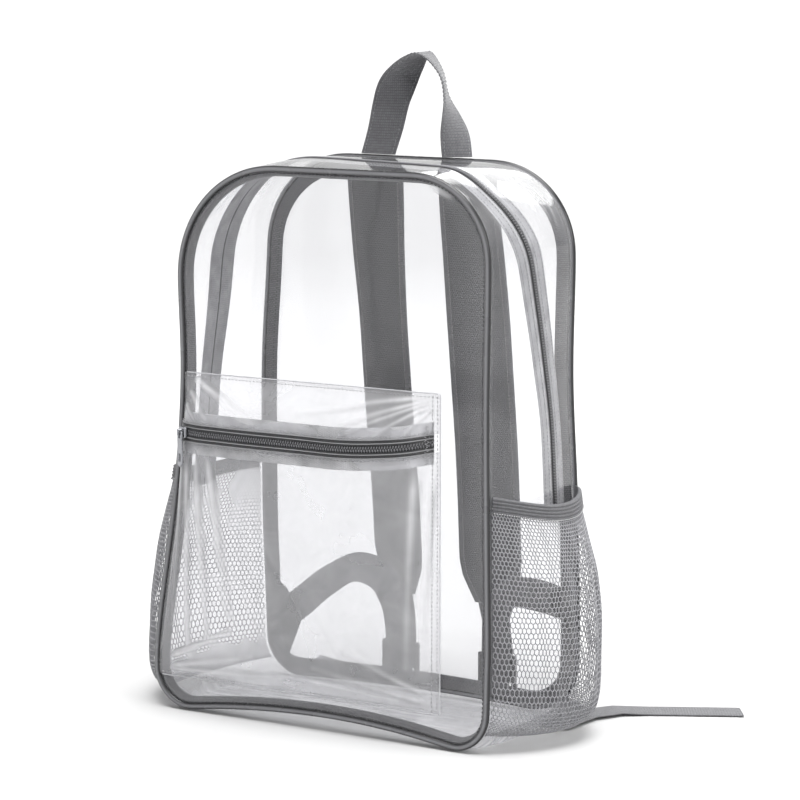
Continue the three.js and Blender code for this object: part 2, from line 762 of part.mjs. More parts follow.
for (const hand of ['Right', 'Left']) {
  const name = hand.toLowerCase();
  add(`side_net_${name}`, net(hand), greyNet);
  const hem = (s, w) => offGusset(hand, s, pouchTop(s) - hemHeight * (1 - w), hemOut - hemLean * w, 0,
    hemThickness);
  add(`side_hem_${name}`, sheet(hem, steps(0, 1, 14), [0, 1],
    { out: hemThickness, thickness: hemThickness, side: handSign[hand] }), greyTape);
}

// A strap through rows of places: across points along its width
function strap(rows, width, thickness, { smooth = 3, rounded = false } = {}) {
  const places = new THREE.CatmullRomCurve3(rows.map((row) => row.at), false, 'centripetal');
  const last = rows.length - 1;
  const count = smooth * last;
  const quarter = rounded ? [[-0.5, -0.2], [-0.44, -0.5]] : [[-0.5, -0.5]];
  const lower = [...quarter, ...quarter.map(([w, t]) => [-w, t]).reverse()];
  const outline = [...lower, ...lower.map(([w, t]) => [w, -t]).reverse()];
  const sections = [];
  for (let i = 0; i <= count; i += 1) {
    const at = Math.min(Math.floor(i / smooth), last - 1);
    const part = i / smooth - at;
    const a = rows[at];
    const b = rows[at + 1];
    const mix = (key) => (a[key] ?? 1) + ((b[key] ?? 1) - (a[key] ?? 1)) * part;
    const centre = places.getPoint(i / count);
    const tangent = places.getTangent(i / count);
    const across = a.across.clone().lerp(b.across, part).normalize();
    const normal = vec().crossVectors(tangent, across).normalize();
    sections.push(outline.map(([w, t]) => centre.clone()
      .addScaledVector(across, w * width * mix('wide'))
      .addScaledVector(normal, t * thickness * mix('thick'))));
  }
  return loft(sections);
}

const turned = (degrees) => vec(1, 0, 0).applyAxisAngle(Z, THREE.MathUtils.degToRad(degrees));

// Carrying handle: a loop of webbing sewn into the back seam, twisted over at its top.
// Places are shares of its span and height, and turn is the direction of its width.
const handleRows = [
  { along: -0.50, up: 0.00, turn: 0 },
  { along: -0.41, up: 0.24, turn: 3 },
  { along: -0.32, up: 0.54, turn: 10 },
  { along: -0.17, up: 0.82, turn: 34 },
  { along: 0.07, up: 1.00, turn: 84 },
  { along: 0.29, up: 0.82, turn: 104 },
  { along: 0.37, up: 0.56, turn: 98 },
  { along: 0.43, up: 0.38, turn: 82 },
  { along: 0.47, up: 0.22, turn: 60 },
  { along: 0.50, up: 0.00, turn: 38 },
];
const handleBase = bagHeight + gap;
add('carry_handle', strap(handleRows.map(({ along, up, turn }) => ({
  at: vec(along * handleSpan, backPlane, handleBase + up * handleHeight),
  across: turned(turn),
})), handleWidth, handleThickness), greyWebbing);

// Padded shoulder straps, which hang from the back seam and swing away from the back panel.
// out is a share of half their spacing, back of their swing, up of the bag's height.
const padRows = [
  { up: 0.930, back: 0.05, left: 0.98, right: 0.98 },
  { up: 0.815, back: 0.20, left: 1.00, right: 1.02 },
  { up: 0.698, back: 0.37, left: 1.00, right: 1.04 },
  { up: 0.581, back: 0.53, left: 1.00, right: 1.05 },
  { up: 0.465, back: 0.70, left: 1.00, right: 1.05 },
  { up: 0.349, back: 0.88, left: 1.00, right: 1.02 },
  { up: 0.245, back: 1.00, left: 1.00, right: 1.00 },
  { up: 0.215, back: 1.00, left: 0.97, right: 1.02, wide: 0.92, thick: 0.9 },
  { up: 0.165, back: 0.97, left: 0.93, right: 1.08, wide: 0.54, thick: 0.45 },
];
const padFace = backPlane + wall / 2 + gap;
const lockPlane = backPlane + lockSetback;
const lockFoot = floorLift + webbingThickness + gap;
const lockTop = lockFoot + lockHeight;
const lockCentre = { Left: -lockLeft, Right: lockRight };
const padEnd = bagHeight * padRows[padRows.length - 1].up;

function padPlace(hand, row) {
  const sign = handSign[hand];
  return {
    at: vec(sign * (padSpacing / 2) * row[hand.toLowerCase()],
      padFace + padThickness / 2 + padSwing * row.back, bagHeight * row.up),
    across: turned(sign * padTurn * Math.min(1, row.back * 3)),
    wide: row.wide,
    thick: row.thick,
  };
}

function lockShape(centre) {
  const half = lockWidth / 2;
  const shape = new THREE.Shape();
  shape.moveTo(centre - half, lockFoot);
  shape.lineTo(centre + half, lockFoot);
  shape.lineTo(centre + half, lockTop);
  shape.lineTo(centre - half, lockTop);
  shape.closePath();
  const slotHalf = webbingWidth / 2 + lockSlotPlay;
  for (const low of [lockFoot + lockBarWidth, lockTop - lockBarWidth - lockSlotHeight]) {
    const hole = slot(slotHalf, low + lockSlotHeight, low);
    hole.curves.forEach((line) => {
      line.v1.x += centre;
      line.v2.x += centre;
    });
    shape.holes.push(hole);
  }
  return shape;
}

// Lower webbing: from the corner tab it rises in an arch and comes down to the ladder lock.
// x is a share of half the bag's width, back of the lock's setback, up of the arch's rise.
const archRows = {
  Left: [
    { x: -0.900, back: 0.00, up: 0.48, ax: -0.70, ay: 0.00, az: 0.70 },
    { x: -0.787, back: 0.22, up: 0.63, ax: -0.64, ay: 0.10, az: 0.76 },
    { x: -0.613, back: 0.45, up: 0.87, ax: -0.50, ay: 0.30, az: 0.80 },
    { x: -0.453, back: 0.63, up: 1.00, ax: -0.05, ay: 0.45, az: 0.89 },
    { x: -0.330, back: 0.80, up: 0.93, ax: 0.55, ay: 0.35, az: 0.72 },
    { x: -0.262, back: 0.93, up: 0.70, ax: 0.95, ay: 0.10, az: 0.20 },
  ],
  Right: [
    { x: 0.905, back: 0.00, up: 0.92, ax: 0.00, ay: 0.00, az: 1.00 },
    { x: 0.787, back: 0.25, up: 0.95, ax: 0.00, ay: 0.15, az: 0.99 },
    { x: 0.620, back: 0.48, up: 0.96, ax: -0.10, ay: 0.25, az: 0.96 },
    { x: 0.480, back: 0.68, up: 0.93, ax: -0.50, ay: 0.30, az: 0.80 },
    { x: 0.392, back: 0.84, up: 0.75, ax: -0.92, ay: 0.10, az: 0.35 },
  ],
};
const archStart = padFace + tabThickness + gap + webbingThickness / 2;
const archPlane = lockPlane - lockThickness / 2 - gap - webbingThickness / 2;

function archPlaces(hand) {
  const places = archRows[hand].map(({ x, back, up, ax, ay, az }) => ({
    at: vec((x * bagWidth) / 2, archStart + (archPlane - archStart) * back, up * archRise),
    across: vec(ax, ay, az),
  }));
  const across = vec(-handSign[hand], 0, 0);
  const x = lockCentre[hand];
  places.push({ at: vec(x, archPlane, lockTop + lockBarWidth), across });
  places.push({ at: vec(x, archPlane, lockFoot + lockBarWidth), across });
  return places;
}

// Corner tabs: small pieces of cloth sewn into the back seam, which hold the lower webbing
const tabRows = {
  Left: [[0.00, 0.00], [0.12, 0.03], [1.00, 0.52], [0.52, 0.84], [0.00, 1.00]],
  Right: [[0.00, 0.86], [0.45, 0.90], [0.75, 1.02], [0.70, 1.20], [0.00, 1.24]],
};

function tab(hand) {
  const shape = new THREE.Shape();
  tabRows[hand].forEach(([inward, up], i) => {
    const height = tabBottom + up * tabHeight;
    const edge = sideX('back', hand, height, panelInset);
    const x = edge - handSign[hand] * inward * tabLength;
    if (i === 0) shape.moveTo(x, height);
    else shape.lineTo(x, height);
  });
  shape.closePath();
  return upright(shape, padFace, padFace + tabThickness);
}

for (const hand of ['Left', 'Right']) {
  const name = hand.toLowerCase();
  const padTop = { ...padRows[0], up: 1 - (pipingDiameter + gap) / bagHeight, back: 0 };
  add(`shoulder_pad_${name}`, strap([padTop, ...padRows].map((row) => padPlace(hand, row)),
    padWidth, padThickness, { rounded: true, smooth: 1 }), greyWebbing);
  const low = padPlace(hand, padRows[padRows.length - 1]).at;
  const across = turned(0);
  const tapePlane = lockPlane + lockThickness / 2 + gap + webbingThickness / 2;
  const x = lockCentre[hand];
  add(`pad_webbing_${name}`, strap([
    { at: vec(low.x, low.y, padEnd - gap), across: turned(handSign[hand] * padTurn) },
    {
      at: vec(low.x + (x - low.x) * 0.6, tapePlane + (low.y - tapePlane) * 0.4, (padEnd + lockTop) / 2),
      across,
    },
    { at: vec(x, tapePlane, lockTop), across },
    { at: vec(x, tapePlane, lockTop - lockBarWidth - lockSlotHeight), across },
  ], webbingWidth, webbingThickness), greyWebbing);
  add(`ladder_lock_${name}`, upright(lockShape(x), lockPlane - lockThickness / 2,
    lockPlane + lockThickness / 2), greyPlastic);
  add(`lower_webbing_${name}`, strap(archPlaces(hand), webbingWidth, webbingThickness), greyWebbing);
  add(`corner_tab_${name}`, tab(hand), greyTape);
}

// Loose ends of the webbing, which lie flat on the floor. The right one is folded back on itself
// just inside the line of the bag's side. x up to the fold is a share of the fold's place and beyond
// it a share of what is left of the reach, y is a share of the reach, layer counts its folds.
const tailRows = {
  Left: [
    { x: 0.16, beyond: 0, y: 0.00, layer: 0, turn: 90 },
    { x: 0.50, beyond: 0, y: 0.02, layer: 0, turn: 88 },
    { x: 0.80, beyond: 0, y: 0.08, layer: 0, turn: 100 },
    { x: 1.00, beyond: 0, y: 0.15, layer: 0, turn: 108 },
  ],
  Right: [
    { x: 0.270, beyond: 0, y: 0.008, layer: 0, turn: 90 },
    { x: 0.557, beyond: 0, y: 0.004, layer: 0, turn: 88 },
    { x: 0.760, beyond: 0, y: -0.016, layer: 0, turn: 66 },
    { x: 0.905, beyond: 0, y: -0.080, layer: 0, turn: 30 },
    { x: 0.963, beyond: 0, y: -0.168, layer: 0, turn: 6 },
    { x: 0.973, beyond: 0, y: -0.248, layer: 0, turn: 0 },
    { x: 0.980, beyond: 0, y: -0.300, layer: 0, turn: 0 },
    { x: 0.987, beyond: 0, y: -0.306, layer: 0.5, turn: 0 },
    { x: 0.993, beyond: 0, y: -0.300, layer: 1, turn: 0 },
    { x: 1.000, beyond: 0, y: -0.248, layer: 1, turn: 0 },
    { x: 1.000, beyond: 0.034, y: -0.136, layer: 1, turn: -14 },
    { x: 1.000, beyond: 0.176, y: -0.032, layer: 0.8, turn: -43 },
    { x: 1.000, beyond: 0.363, y: 0.024, layer: 0, turn: -56 },
    { x: 1.000, beyond: 0.559, y: 0.068, layer: 0, turn: -60 },
    { x: 1.000, beyond: 1.000, y: 0.162, layer: 0, turn: -57 },
  ],
};

function tail(hand, fold, reach) {
  const places = tailRows[hand].map(({ x, beyond, y, layer, turn }) => ({
    at: vec(handSign[hand] * (x * fold + beyond * (reach - fold)), lockPlane + y * reach,
      floorLift + webbingThickness / 2 + layer * (webbingThickness + foldGap)),
    across: turned(turn),
  }));
  return strap(places, webbingWidth, webbingThickness, { smooth: 1 });
}
add('strap_tail_left', tail('Left', leftTailReach, leftTailReach), greyWebbing);
add('strap_tail_right', tail('Right', bagWidth / 2 - foldInset, rightTailReach), greyWebbing);

export default bag;
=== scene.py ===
# %% [markdown]
# # A clear backpack
# The bag is made of clear film with grey trim: piping, zips, net side pockets, webbing and padded straps.
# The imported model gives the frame: its size, its bodies and the place of every piece. This script
# dresses that frame, one kind of piece at a time, and ends with the light and the camera.

# %% Load the frame
import math
import bmesh
import bpy
import numpy as np
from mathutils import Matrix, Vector, noise


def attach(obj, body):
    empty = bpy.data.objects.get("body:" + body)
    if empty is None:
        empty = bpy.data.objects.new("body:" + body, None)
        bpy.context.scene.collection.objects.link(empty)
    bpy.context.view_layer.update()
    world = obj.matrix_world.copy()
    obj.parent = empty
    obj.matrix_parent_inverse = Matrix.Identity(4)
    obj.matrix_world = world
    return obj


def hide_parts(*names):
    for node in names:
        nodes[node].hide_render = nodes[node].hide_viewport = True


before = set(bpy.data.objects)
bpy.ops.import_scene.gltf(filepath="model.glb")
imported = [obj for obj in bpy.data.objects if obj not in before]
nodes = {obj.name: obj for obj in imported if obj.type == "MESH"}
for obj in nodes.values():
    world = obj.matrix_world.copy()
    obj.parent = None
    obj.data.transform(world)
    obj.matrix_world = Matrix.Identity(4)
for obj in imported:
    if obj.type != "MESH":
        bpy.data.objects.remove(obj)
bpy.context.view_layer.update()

scene = bpy.context.scene
MM = 0.001

# %% [markdown]
# ## Colours and shader nodes
# A colour picked on a screen is an sRGB value, and a shader works with linear light, so each hex
# colour goes through one function. A second function adds a node, sets it and links it in one line.
# Materials could be made by hand in the editor; in code they can be read and changed as text.

# %% Colours and nodes
def linear(code):
    parts = [int(code[i:i + 2], 16) / 255 for i in (1, 3, 5)]
    return (*[v / 12.92 if v <= 0.04045 else ((v + 0.055) / 1.055) ** 2.4 for v in parts], 1.0)


def add(tree, kind, inputs=None, **settings):
    node = tree.nodes.new(kind)
    for name, value in settings.items():
        setattr(node, name, value)
    for name, value in (inputs or {}).items():
        if isinstance(value, bpy.types.NodeSocket):
            tree.links.new(value, node.inputs[name])
        else:
            node.inputs[name].default_value = value
    return node


def start_material(name):
    material = bpy.data.materials.new(name)
    material.use_nodes = True
    material.node_tree.nodes.clear()
    return material, material.node_tree


def end_material(tree, shader):
    add(tree, "ShaderNodeOutputMaterial", {"Surface": shader})


def shades(tree, factor, stops):
    """A colour ramp through (place, hex colour) stops."""
    ramp = add(tree, "ShaderNodeValToRGB", {"Fac": factor})
    elements = ramp.color_ramp.elements
    while len(elements) < len(stops):
        elements.new(0.5)
    for element, (place, code) in zip(elements, stops):
        element.position = place
        element.color = linear(code)
    return ramp.outputs["Color"]


# %% [markdown]
# ## Clear film
# The walls are soft PVC film, half a millimetre thick. Light goes almost straight through, so glass
# with refraction would be slow and no truer. A transparent shader with a glance of gloss at flat angles
# is right for a thin sheet: it is the same from both sides, which a Fresnel node isn't. The film is
# calendered and never quite flat, so slow waves bend its reflections. Two attributes are painted on the
# mesh. "haze" makes the film milky where it is soft or creased, and also carries painted highlights: a
# patch of glare and the crests of folds. "shade" darkens it: a little on the panels, which are thicker,
# and more as painted shade on the side of a fold, where light is bent aside.

# %% Clear film material
CLEAR, DARKENED, MILK = linear("#fafafb"), linear("#8e8e91"), linear("#f4f4f6")
HEAD_ON, AT_A_GLANCE = 0.06, 0.90  # share of light reflected straight on, and what flat angles add to it
WAVES_PER_METRE, RIPPLES_PER_METRE, STREAKS_PER_METRE = 16.0, 60.0, 30.0


def clear_film():
    material, tree = start_material("calendered_clear_pvc")
    place = add(tree, "ShaderNodeTexCoord").outputs["Object"]
    waves = add(tree, "ShaderNodeTexNoise", {
        "Vector": place, "Scale": WAVES_PER_METRE, "Detail": 1.0, "Distortion": 0.4}).outputs["Fac"]
    ripples = add(tree, "ShaderNodeTexNoise", {
        "Vector": place, "Scale": RIPPLES_PER_METRE, "Detail": 1.0}).outputs["Fac"]
    bump = add(tree, "ShaderNodeBump", {"Height": waves, "Strength": 0.35, "Distance": 4 * MM})
    bump = add(tree, "ShaderNodeBump", {
        "Height": ripples, "Strength": 0.10, "Distance": 0.6 * MM, "Normal": bump.outputs["Normal"]})
    bump = bump.outputs["Normal"]
    # The shade attribute is an even tint on the panels and painted shade on the side of each fold.
    shade = add(tree, "ShaderNodeAttribute", attribute_name="shade").outputs["Fac"]
    tint = add(tree, "ShaderNodeMixRGB", {"Fac": shade, "Color1": CLEAR, "Color2": DARKENED})
    straight = add(tree, "ShaderNodeBsdfTransparent", {"Color": tint.outputs["Color"]})
    gloss = add(tree, "ShaderNodeBsdfGlossy", {"Roughness": 0.09, "Normal": bump})
    slant = add(tree, "ShaderNodeLayerWeight", {"Blend": 0.5, "Normal": bump}).outputs["Facing"]
    steep = add(tree, "ShaderNodeMath", {0: slant, 1: 5.0}, operation="POWER").outputs[0]
    glance = add(tree, "ShaderNodeMath", {0: steep, 1: AT_A_GLANCE, 2: HEAD_ON}, operation="MULTIPLY_ADD")
    clear = add(tree, "ShaderNodeMixShader", {
        0: glance.outputs[0], 1: straight.outputs[0], 2: gloss.outputs[0]})
    lit = add(tree, "ShaderNodeBsdfDiffuse", {"Color": MILK})
    passed = add(tree, "ShaderNodeBsdfTranslucent", {"Color": MILK})
    milky = add(tree, "ShaderNodeMixShader", {0: 0.5, 1: lit.outputs[0], 2: passed.outputs[0]})
    # The haze attribute is milky film, and also painted highlight: the glare patch and the crests of folds.
    haze_and_painted_highlight = add(tree, "ShaderNodeAttribute", attribute_name="haze_and_painted_highlight").outputs["Fac"]
    streaks = add(tree, "ShaderNodeTexNoise", {
        "Vector": place, "Scale": STREAKS_PER_METRE, "Detail": 2.0, "Distortion": 1.0}).outputs["Fac"]
    broken = add(tree, "ShaderNodeMapRange", {
        "Value": streaks, "From Min": 0.35, "From Max": 0.70, "To Min": 0.88, "To Max": 1.15})
    veil = add(tree, "ShaderNodeMath", {0: haze_and_painted_highlight, 1: broken.outputs["Result"]}, operation="MULTIPLY",
               use_clamp=True)
    both = add(tree, "ShaderNodeMixShader", {0: veil.outputs[0], 1: clear.outputs[0], 2: milky.outputs[0]})
    end_material(tree, both.outputs[0])
    return material


FILM = clear_film()
print(f"film: {len(FILM.node_tree.nodes)} nodes in {FILM.name}")

# %% [markdown]
# ## Woven tapes and webbing
# Webbing is woven from polyester: fine ribs run along it, and each rib is a row of small bumps where
# the threads cross. The pieces carry a UV map in metres, across and along the tape, so the threads keep
# their size and follow every bend. A brick pattern gives the crossings; a real thread is 0.6 mm, and it
# is drawn about 1.5 mm wide here so that it shows. Cloth has no clear gloss, so it is rough with sheen.

# %% Woven material
def woven(name, dark, light, across=0.0016, along=0.0022, depth=0.0004, roughness=0.85, sheen=0.35,
          blotch=0.25):
    material, tree = start_material(name)
    uv = add(tree, "ShaderNodeTexCoord").outputs["UV"]
    threads = add(tree, "ShaderNodeTexBrick", {
        "Vector": uv, "Color1": (1, 1, 1, 1), "Color2": (0.72, 0.72, 0.72, 1), "Mortar": (0, 0, 0, 1),
        "Scale": 1.0, "Mortar Size": across * 0.16, "Mortar Smooth": 1.0,
        "Brick Width": across, "Row Height": along})
    wear = add(tree, "ShaderNodeTexNoise", {
        "Vector": add(tree, "ShaderNodeTexCoord").outputs["Object"], "Scale": 70.0, "Detail": 4.0})
    mixed = add(tree, "ShaderNodeMath", {0: wear.outputs["Fac"], 1: blotch, 2: 0.0}, operation="MULTIPLY_ADD")
    tone = add(tree, "ShaderNodeMath", {0: threads.outputs["Color"], 1: 1.0 - blotch, 2: mixed.outputs[0]},
               operation="MULTIPLY_ADD")
    colour = shades(tree, tone.outputs[0], [(0.1, dark), (0.85, light)])
    bump = add(tree, "ShaderNodeBump", {
        "Height": threads.outputs["Color"], "Strength": 0.7, "Distance": depth})
    cloth = add(tree, "ShaderNodeBsdfPrincipled", {
        "Base Color": colour, "Roughness": roughness, "Normal": bump.outputs["Normal"]})
    cloth.inputs["Sheen Weight"].default_value = sheen
    cloth.inputs["Sheen Roughness"].default_value = 0.4
    end_material(tree, cloth.outputs[0])
    return material


WEBBING = woven("polyester_webbing", "#3f3f41", "#6f6f72")
BINDING = woven("grosgrain_binding", "#373739", "#6a6a6d", across=0.0026, along=0.0015)
ZIP_TAPE = woven("zip_tape_twill", "#5e5e61", "#b4b4b7", along=0.0016, blotch=0.75)
ELASTIC = woven("ribbed_elastic", "#39393b", "#646467", across=0.0012, along=0.0030, sheen=0.2)
# painted light: a lighter copy of the zip tape, to make up for the shade of the pocket film over it
POCKET_TAPE_PAINTED_LIGHTER = woven("pocket_zip_tape_twill_painted_lighter", "#77777a", "#cdcdd0", along=0.0016, blotch=0.85)
PAD_CLOTH = woven("pad_shell_oxford", "#343436", "#4e4e51", across=0.0018, along=0.0018, depth=0.0003,
                  sheen=0.15)
WOVEN = (WEBBING, BINDING, ZIP_TAPE, ELASTIC, POCKET_TAPE_PAINTED_LIGHTER, PAD_CLOTH)
print("woven:", ", ".join(material.name for material in WOVEN))

# %% [markdown]
# ## Soft plastic, thread and plated metal
# The piping is an extruded PVC bead: smooth, with a soft highlight along its crown. The coil of a zip
# is nylon, the buckles are moulded acetal, and the sliders are nickel-plated zinc, which is a metal and
# so keeps the default IOR. A faint noise in the roughness keeps each from looking like a drawing. The
# bead's sides are painted darker than its crown: painted shade where it turns from the light into its seam.

# %% Plastic, thread and metal materials
def moulded(name, code, roughness, spread=0.08, metallic=0.0, grain=600.0, bumps=0.00005, painted_side_shade=None):
    material, tree = start_material(name)
    place = add(tree, "ShaderNodeTexCoord").outputs["Object"]
    fine = add(tree, "ShaderNodeTexNoise", {"Vector": place, "Scale": grain, "Detail": 2.0})
    slow = add(tree, "ShaderNodeTexNoise", {"Vector": place, "Scale": 25.0, "Detail": 3.0})
    rough = add(tree, "ShaderNodeMapRange", {
        "Value": slow.outputs["Fac"], "To Min": roughness - spread, "To Max": roughness + spread})
    colour = linear(code)
    # painted shade: the bead's sides are painted darker than its crown
    if painted_side_shade:
        side = add(tree, "ShaderNodeAttribute", attribute_name="painted_side_shade").outputs["Fac"]
        colour = shades(tree, side, [(0.18, code), (0.75, painted_side_shade)])
    shade = add(tree, "ShaderNodeHueSaturation", {"Color": colour, "Value": add(tree, "ShaderNodeMapRange", {
        "Value": slow.outputs["Fac"], "To Min": 0.88, "To Max": 1.12}).outputs["Result"]})
    bump = add(tree, "ShaderNodeBump", {"Height": fine.outputs["Fac"], "Strength": 0.3, "Distance": bumps})
    body = add(tree, "ShaderNodeBsdfPrincipled", {
        "Base Color": shade.outputs["Color"], "Roughness": rough.outputs["Result"],
        "Metallic": metallic, "Normal": bump.outputs["Normal"]})
    end_material(tree, body.outputs[0])
    return material


BEAD = moulded("extruded_pvc_bead", "#7a7a7d", 0.28, painted_side_shade="#171719")
COIL = moulded("nylon_zip_coil", "#2a2a2c", 0.38)
TEETH = moulded("nylon_zip_loops", "#6a6a6d", 0.30)
BUCKLE = moulded("moulded_acetal", "#4e4e50", 0.42)
NICKEL = moulded("nickel_plated_zinc", "#97989c", 0.24, metallic=1.0, grain=300.0)
THREAD = moulded("polyester_thread", "#b4b4b6", 0.6)
GREY_THREAD = moulded("grey_polyester_thread", "#8a8a8c", 0.6)
DARK_THREAD = moulded("dark_polyester_thread", "#3a3a3c", 0.6)
STRAND = moulded("net_strand", "#8c8c8f", 0.55)
print(f"materials so far: {len(bpy.data.materials)}")

# %% [markdown]
# ## From points to pieces
# Every piece below starts as a table of points in millimetres. A loft joins rings of points into a
# closed body, and a grid joins rows of points into a sheet. The loft writes a UV map in metres, which
# the cloth's weave follows; the grid writes none. The object stays at the origin, so a pattern on it never
# slides.

# %% Meshes from points
def new_object(name, mesh, material=None):
    thing = bpy.data.objects.new(name, mesh)
    scene.collection.objects.link(thing)
    if material:
        mesh.materials.clear()
        mesh.materials.append(material)
    return thing


def to_mesh(name, points, faces, material, uvs=None, attributes=None, crease=38):
    mesh = bpy.data.meshes.new(name)
    mesh.from_pydata((np.asarray(points, float) * MM).tolist(), [], faces)
    if uvs is not None:
        layer = mesh.uv_layers.new(name="cloth")
        layer.data.foreach_set("uv", (np.asarray(uvs, float) * MM).ravel())
    for key, values in (attributes or {}).items():
        layer = mesh.attributes.new(key, "FLOAT", "POINT")
        layer.data.foreach_set("value", np.asarray(values, float).ravel())
    mesh.shade_smooth()
    mesh.set_sharp_from_angle(angle=math.radians(crease))
    return new_object(name, mesh, material)


def lengths(points):
    """Distance along a row of points, starting at 0."""
    return np.concatenate([[0], np.cumsum(np.linalg.norm(np.diff(points, axis=0), axis=1))])


def between(at, places, points):
    """Points at some places on a line, straight between the ones given."""
    return np.stack([np.interp(at, places, points[:, k]) for k in range(3)], axis=1)


def unit(directions):
    return directions / np.maximum(np.linalg.norm(directions, axis=-1, keepdims=True), 1e-9)


def loft(name, sections, material, closed=False, across=None):
    """A closed body through rings of points: sections is (rings, points in a ring, 3)."""
    sections = np.asarray(sections, float)
    count, ring = sections.shape[:2]
    middle = sections.mean(axis=1)
    along = lengths(np.vstack([middle, middle[:1]]))
    if across is None:
        first = sections[0]
        across = lengths(np.vstack([first, first[:1]]))
    faces, uvs = [], []
    for j in range(count if closed else count - 1):
        n = (j + 1) % count
        for i in range(ring):
            k = (i + 1) % ring
            faces.append((j * ring + i, j * ring + k, n * ring + k, n * ring + i))
            uvs += [(across[i], along[j]), (across[i + 1], along[j]),
                    (across[i + 1], along[j + 1]), (across[i], along[j + 1])]
    if not closed:
        faces.append(tuple(range(ring))[::-1])
        faces.append(tuple((count - 1) * ring + i for i in range(ring)))
        uvs += [(across[i], along[0]) for i in range(ring)][::-1]
        uvs += [(across[i], along[count - 1]) for i in range(ring)]
    points = sections.reshape(-1, 3)
    volume = sum(np.dot(points[f[0]], np.cross(points[f[i]], points[f[i + 1]]))
                 for f in faces for i in range(1, len(f) - 1))
    if volume < 0:  # turn every face the other way, with its UVs
        turned, at = [], 0
        for f in faces:
            turned += uvs[at:at + len(f)][::-1]
            at += len(f)
        faces, uvs = [f[::-1] for f in faces], turned
    return to_mesh(name, points, faces, material, uvs)


def grid(name, points, material, attributes=None, flip=False):
    """A sheet through rows of points: points is (rows, points in a row, 3)."""
    rows, columns = points.shape[:2]
    faces = []
    for j in range(rows - 1):
        for i in range(columns - 1):
            a = j * columns + i
            face = (a, a + 1, a + columns + 1, a + columns)
            faces.append(face[::-1] if flip else face)
    return to_mesh(name, points.reshape(-1, 3), faces, material, attributes=attributes)


def dress(piece, slot, *replaced, body="bag"):
    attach(piece, body)
    if replaced:
        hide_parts(*replaced)
    return piece


# %% [markdown]
# ## Smooth tables
# The bag's shape is kept in short tables: how wide it is at a height, how far a pocket stands out. A
# straight line between two rows would show as a kink in glossy film, so a cubic runs through them.

# %% Curves through tables
def through(at, places, values):
    places, values = np.asarray(places, float), np.asarray(values, float)
    at = np.clip(np.asarray(at, float), places[0], places[-1])
    slopes = np.gradient(values, places, axis=0)
    k = np.clip(np.searchsorted(places, at, side="right") - 1, 0, len(places) - 2)
    span = places[k + 1] - places[k]
    t = (at - places[k]) / span
    if values.ndim > 1:
        t, span = t[..., None], span[..., None]
    return ((2 * t**3 - 3 * t**2 + 1) * values[k] + (t**3 - 2 * t**2 + t) * span * slopes[k]
            + (3 * t**2 - 2 * t**3) * values[k + 1] + (t**3 - t**2) * span * slopes[k + 1])


# %% [markdown]
# ## The two outlines
# Front and back panels have nearly the same outline: a base that bows up, small lower corners, sides
# that lean in, and round upper corners. One number, the step, runs round it: 0 at the middle of the
# base, up the right side, over the top and down the left. Both outlines share it, so any line
# from front to back joins two points with the same step.

# %% Sizes and outlines
HEIGHT, WIDTH, DEPTH = 430, 300, 138
GAP, WALL, BEAD_RADIUS = 0.3, 1.0, 2.5
TOP_RADIUS, BOTTOM_RADIUS = 78, 34
BASE, CORNER, SIDE, CROWN = 5, 4, 9, 6
SIDE_START = BASE + CORNER
SIDE_END = SIDE_START + SIDE
TOP_START = SIDE_END + CROWN
TOP = TOP_START + BASE
LOOP = 2 * TOP
HALF_WIDTHS = {
    "up": [0.00, 0.09, 0.19, 0.27, 0.42, 0.62, 0.80, 1.00],
    "front left": [1.05, 1.053, 1.02, 0.98, 0.913, 0.867, 0.88, 0.89],
    "front right": [0.96, 0.96, 0.967, 0.963, 0.957, 0.953, 0.96, 0.96],
    "back left": [0.95, 0.955, 0.965, 0.975, 0.98, 0.975, 0.94, 0.925],
    "back right": [0.97, 0.975, 0.975, 0.97, 0.955, 0.925, 0.933, 0.94],
}
CORNERS = {"front left": (1.15, 0.94), "front right": (0.83, 0.9),
           "back left": (0.96, 0.94), "back right": (0.92, 1.18)}
BOW = {"front": 10, "back": 3}
PLANE = {"front": -DEPTH / 2, "back": DEPTH / 2}
PER_STEP = 10
COUNT = LOOP * PER_STEP


def corner_radii(face, hand):
    top, bottom = CORNERS[f"{face} {hand}"]
    return top * TOP_RADIUS, bottom * BOTTOM_RADIUS


def half_outline(face, hand, step):
    top, bottom = corner_radii(face, hand)

    def side(z):
        return float(through(z / HEIGHT, HALF_WIDTHS["up"], HALF_WIDTHS[f"{face} {hand}"])) * WIDTH / 2

    if step <= BASE:
        corner = side(0) - bottom
        x = corner * step / BASE
        return x, GAP + BOW[face] * (1 - (x / corner) ** 2)
    if step <= SIDE_START:
        angle = (step - BASE) / CORNER * math.pi / 2
        z = GAP + bottom * (1 - math.cos(angle))
        return side(z) - bottom * (1 - math.sin(angle)), z
    if step <= SIDE_END:
        z = GAP + bottom + (HEIGHT - top - bottom - GAP) * (step - SIDE_START) / SIDE
        return side(z), z
    if step <= TOP_START:
        angle = (step - SIDE_END) / CROWN * math.pi / 2
        z = HEIGHT - top * (1 - math.sin(angle))
        return side(z) - top * (1 - math.cos(angle)), z
    return (side(HEIGHT) - top) * (TOP - step) / BASE, HEIGHT


def smooth_loop(values, width):
    offsets = np.arange(-3 * width, 3 * width + 1)
    weights = np.exp(-((offsets / width) ** 2) / 2)
    return sum(w * np.roll(values, -o, axis=0) for o, w in zip(offsets, weights / weights.sum()))


def whole_outline(face):
    points = []
    for step in np.arange(COUNT) / PER_STEP:
        if step <= TOP:
            points.append(half_outline(face, "right", step))
        else:
            x, z = half_outline(face, "left", LOOP - step)
            points.append((-x, z))
    return smooth_loop(np.array(points), 3)


OUTLINE = {face: whole_outline(face) for face in PLANE}
NORMAL = {}
for face, points in OUTLINE.items():
    run = unit(np.roll(points, -1, axis=0) - np.roll(points, 1, axis=0))
    NORMAL[face] = smooth_loop(np.stack([run[:, 1], -run[:, 0]], axis=1), 2)


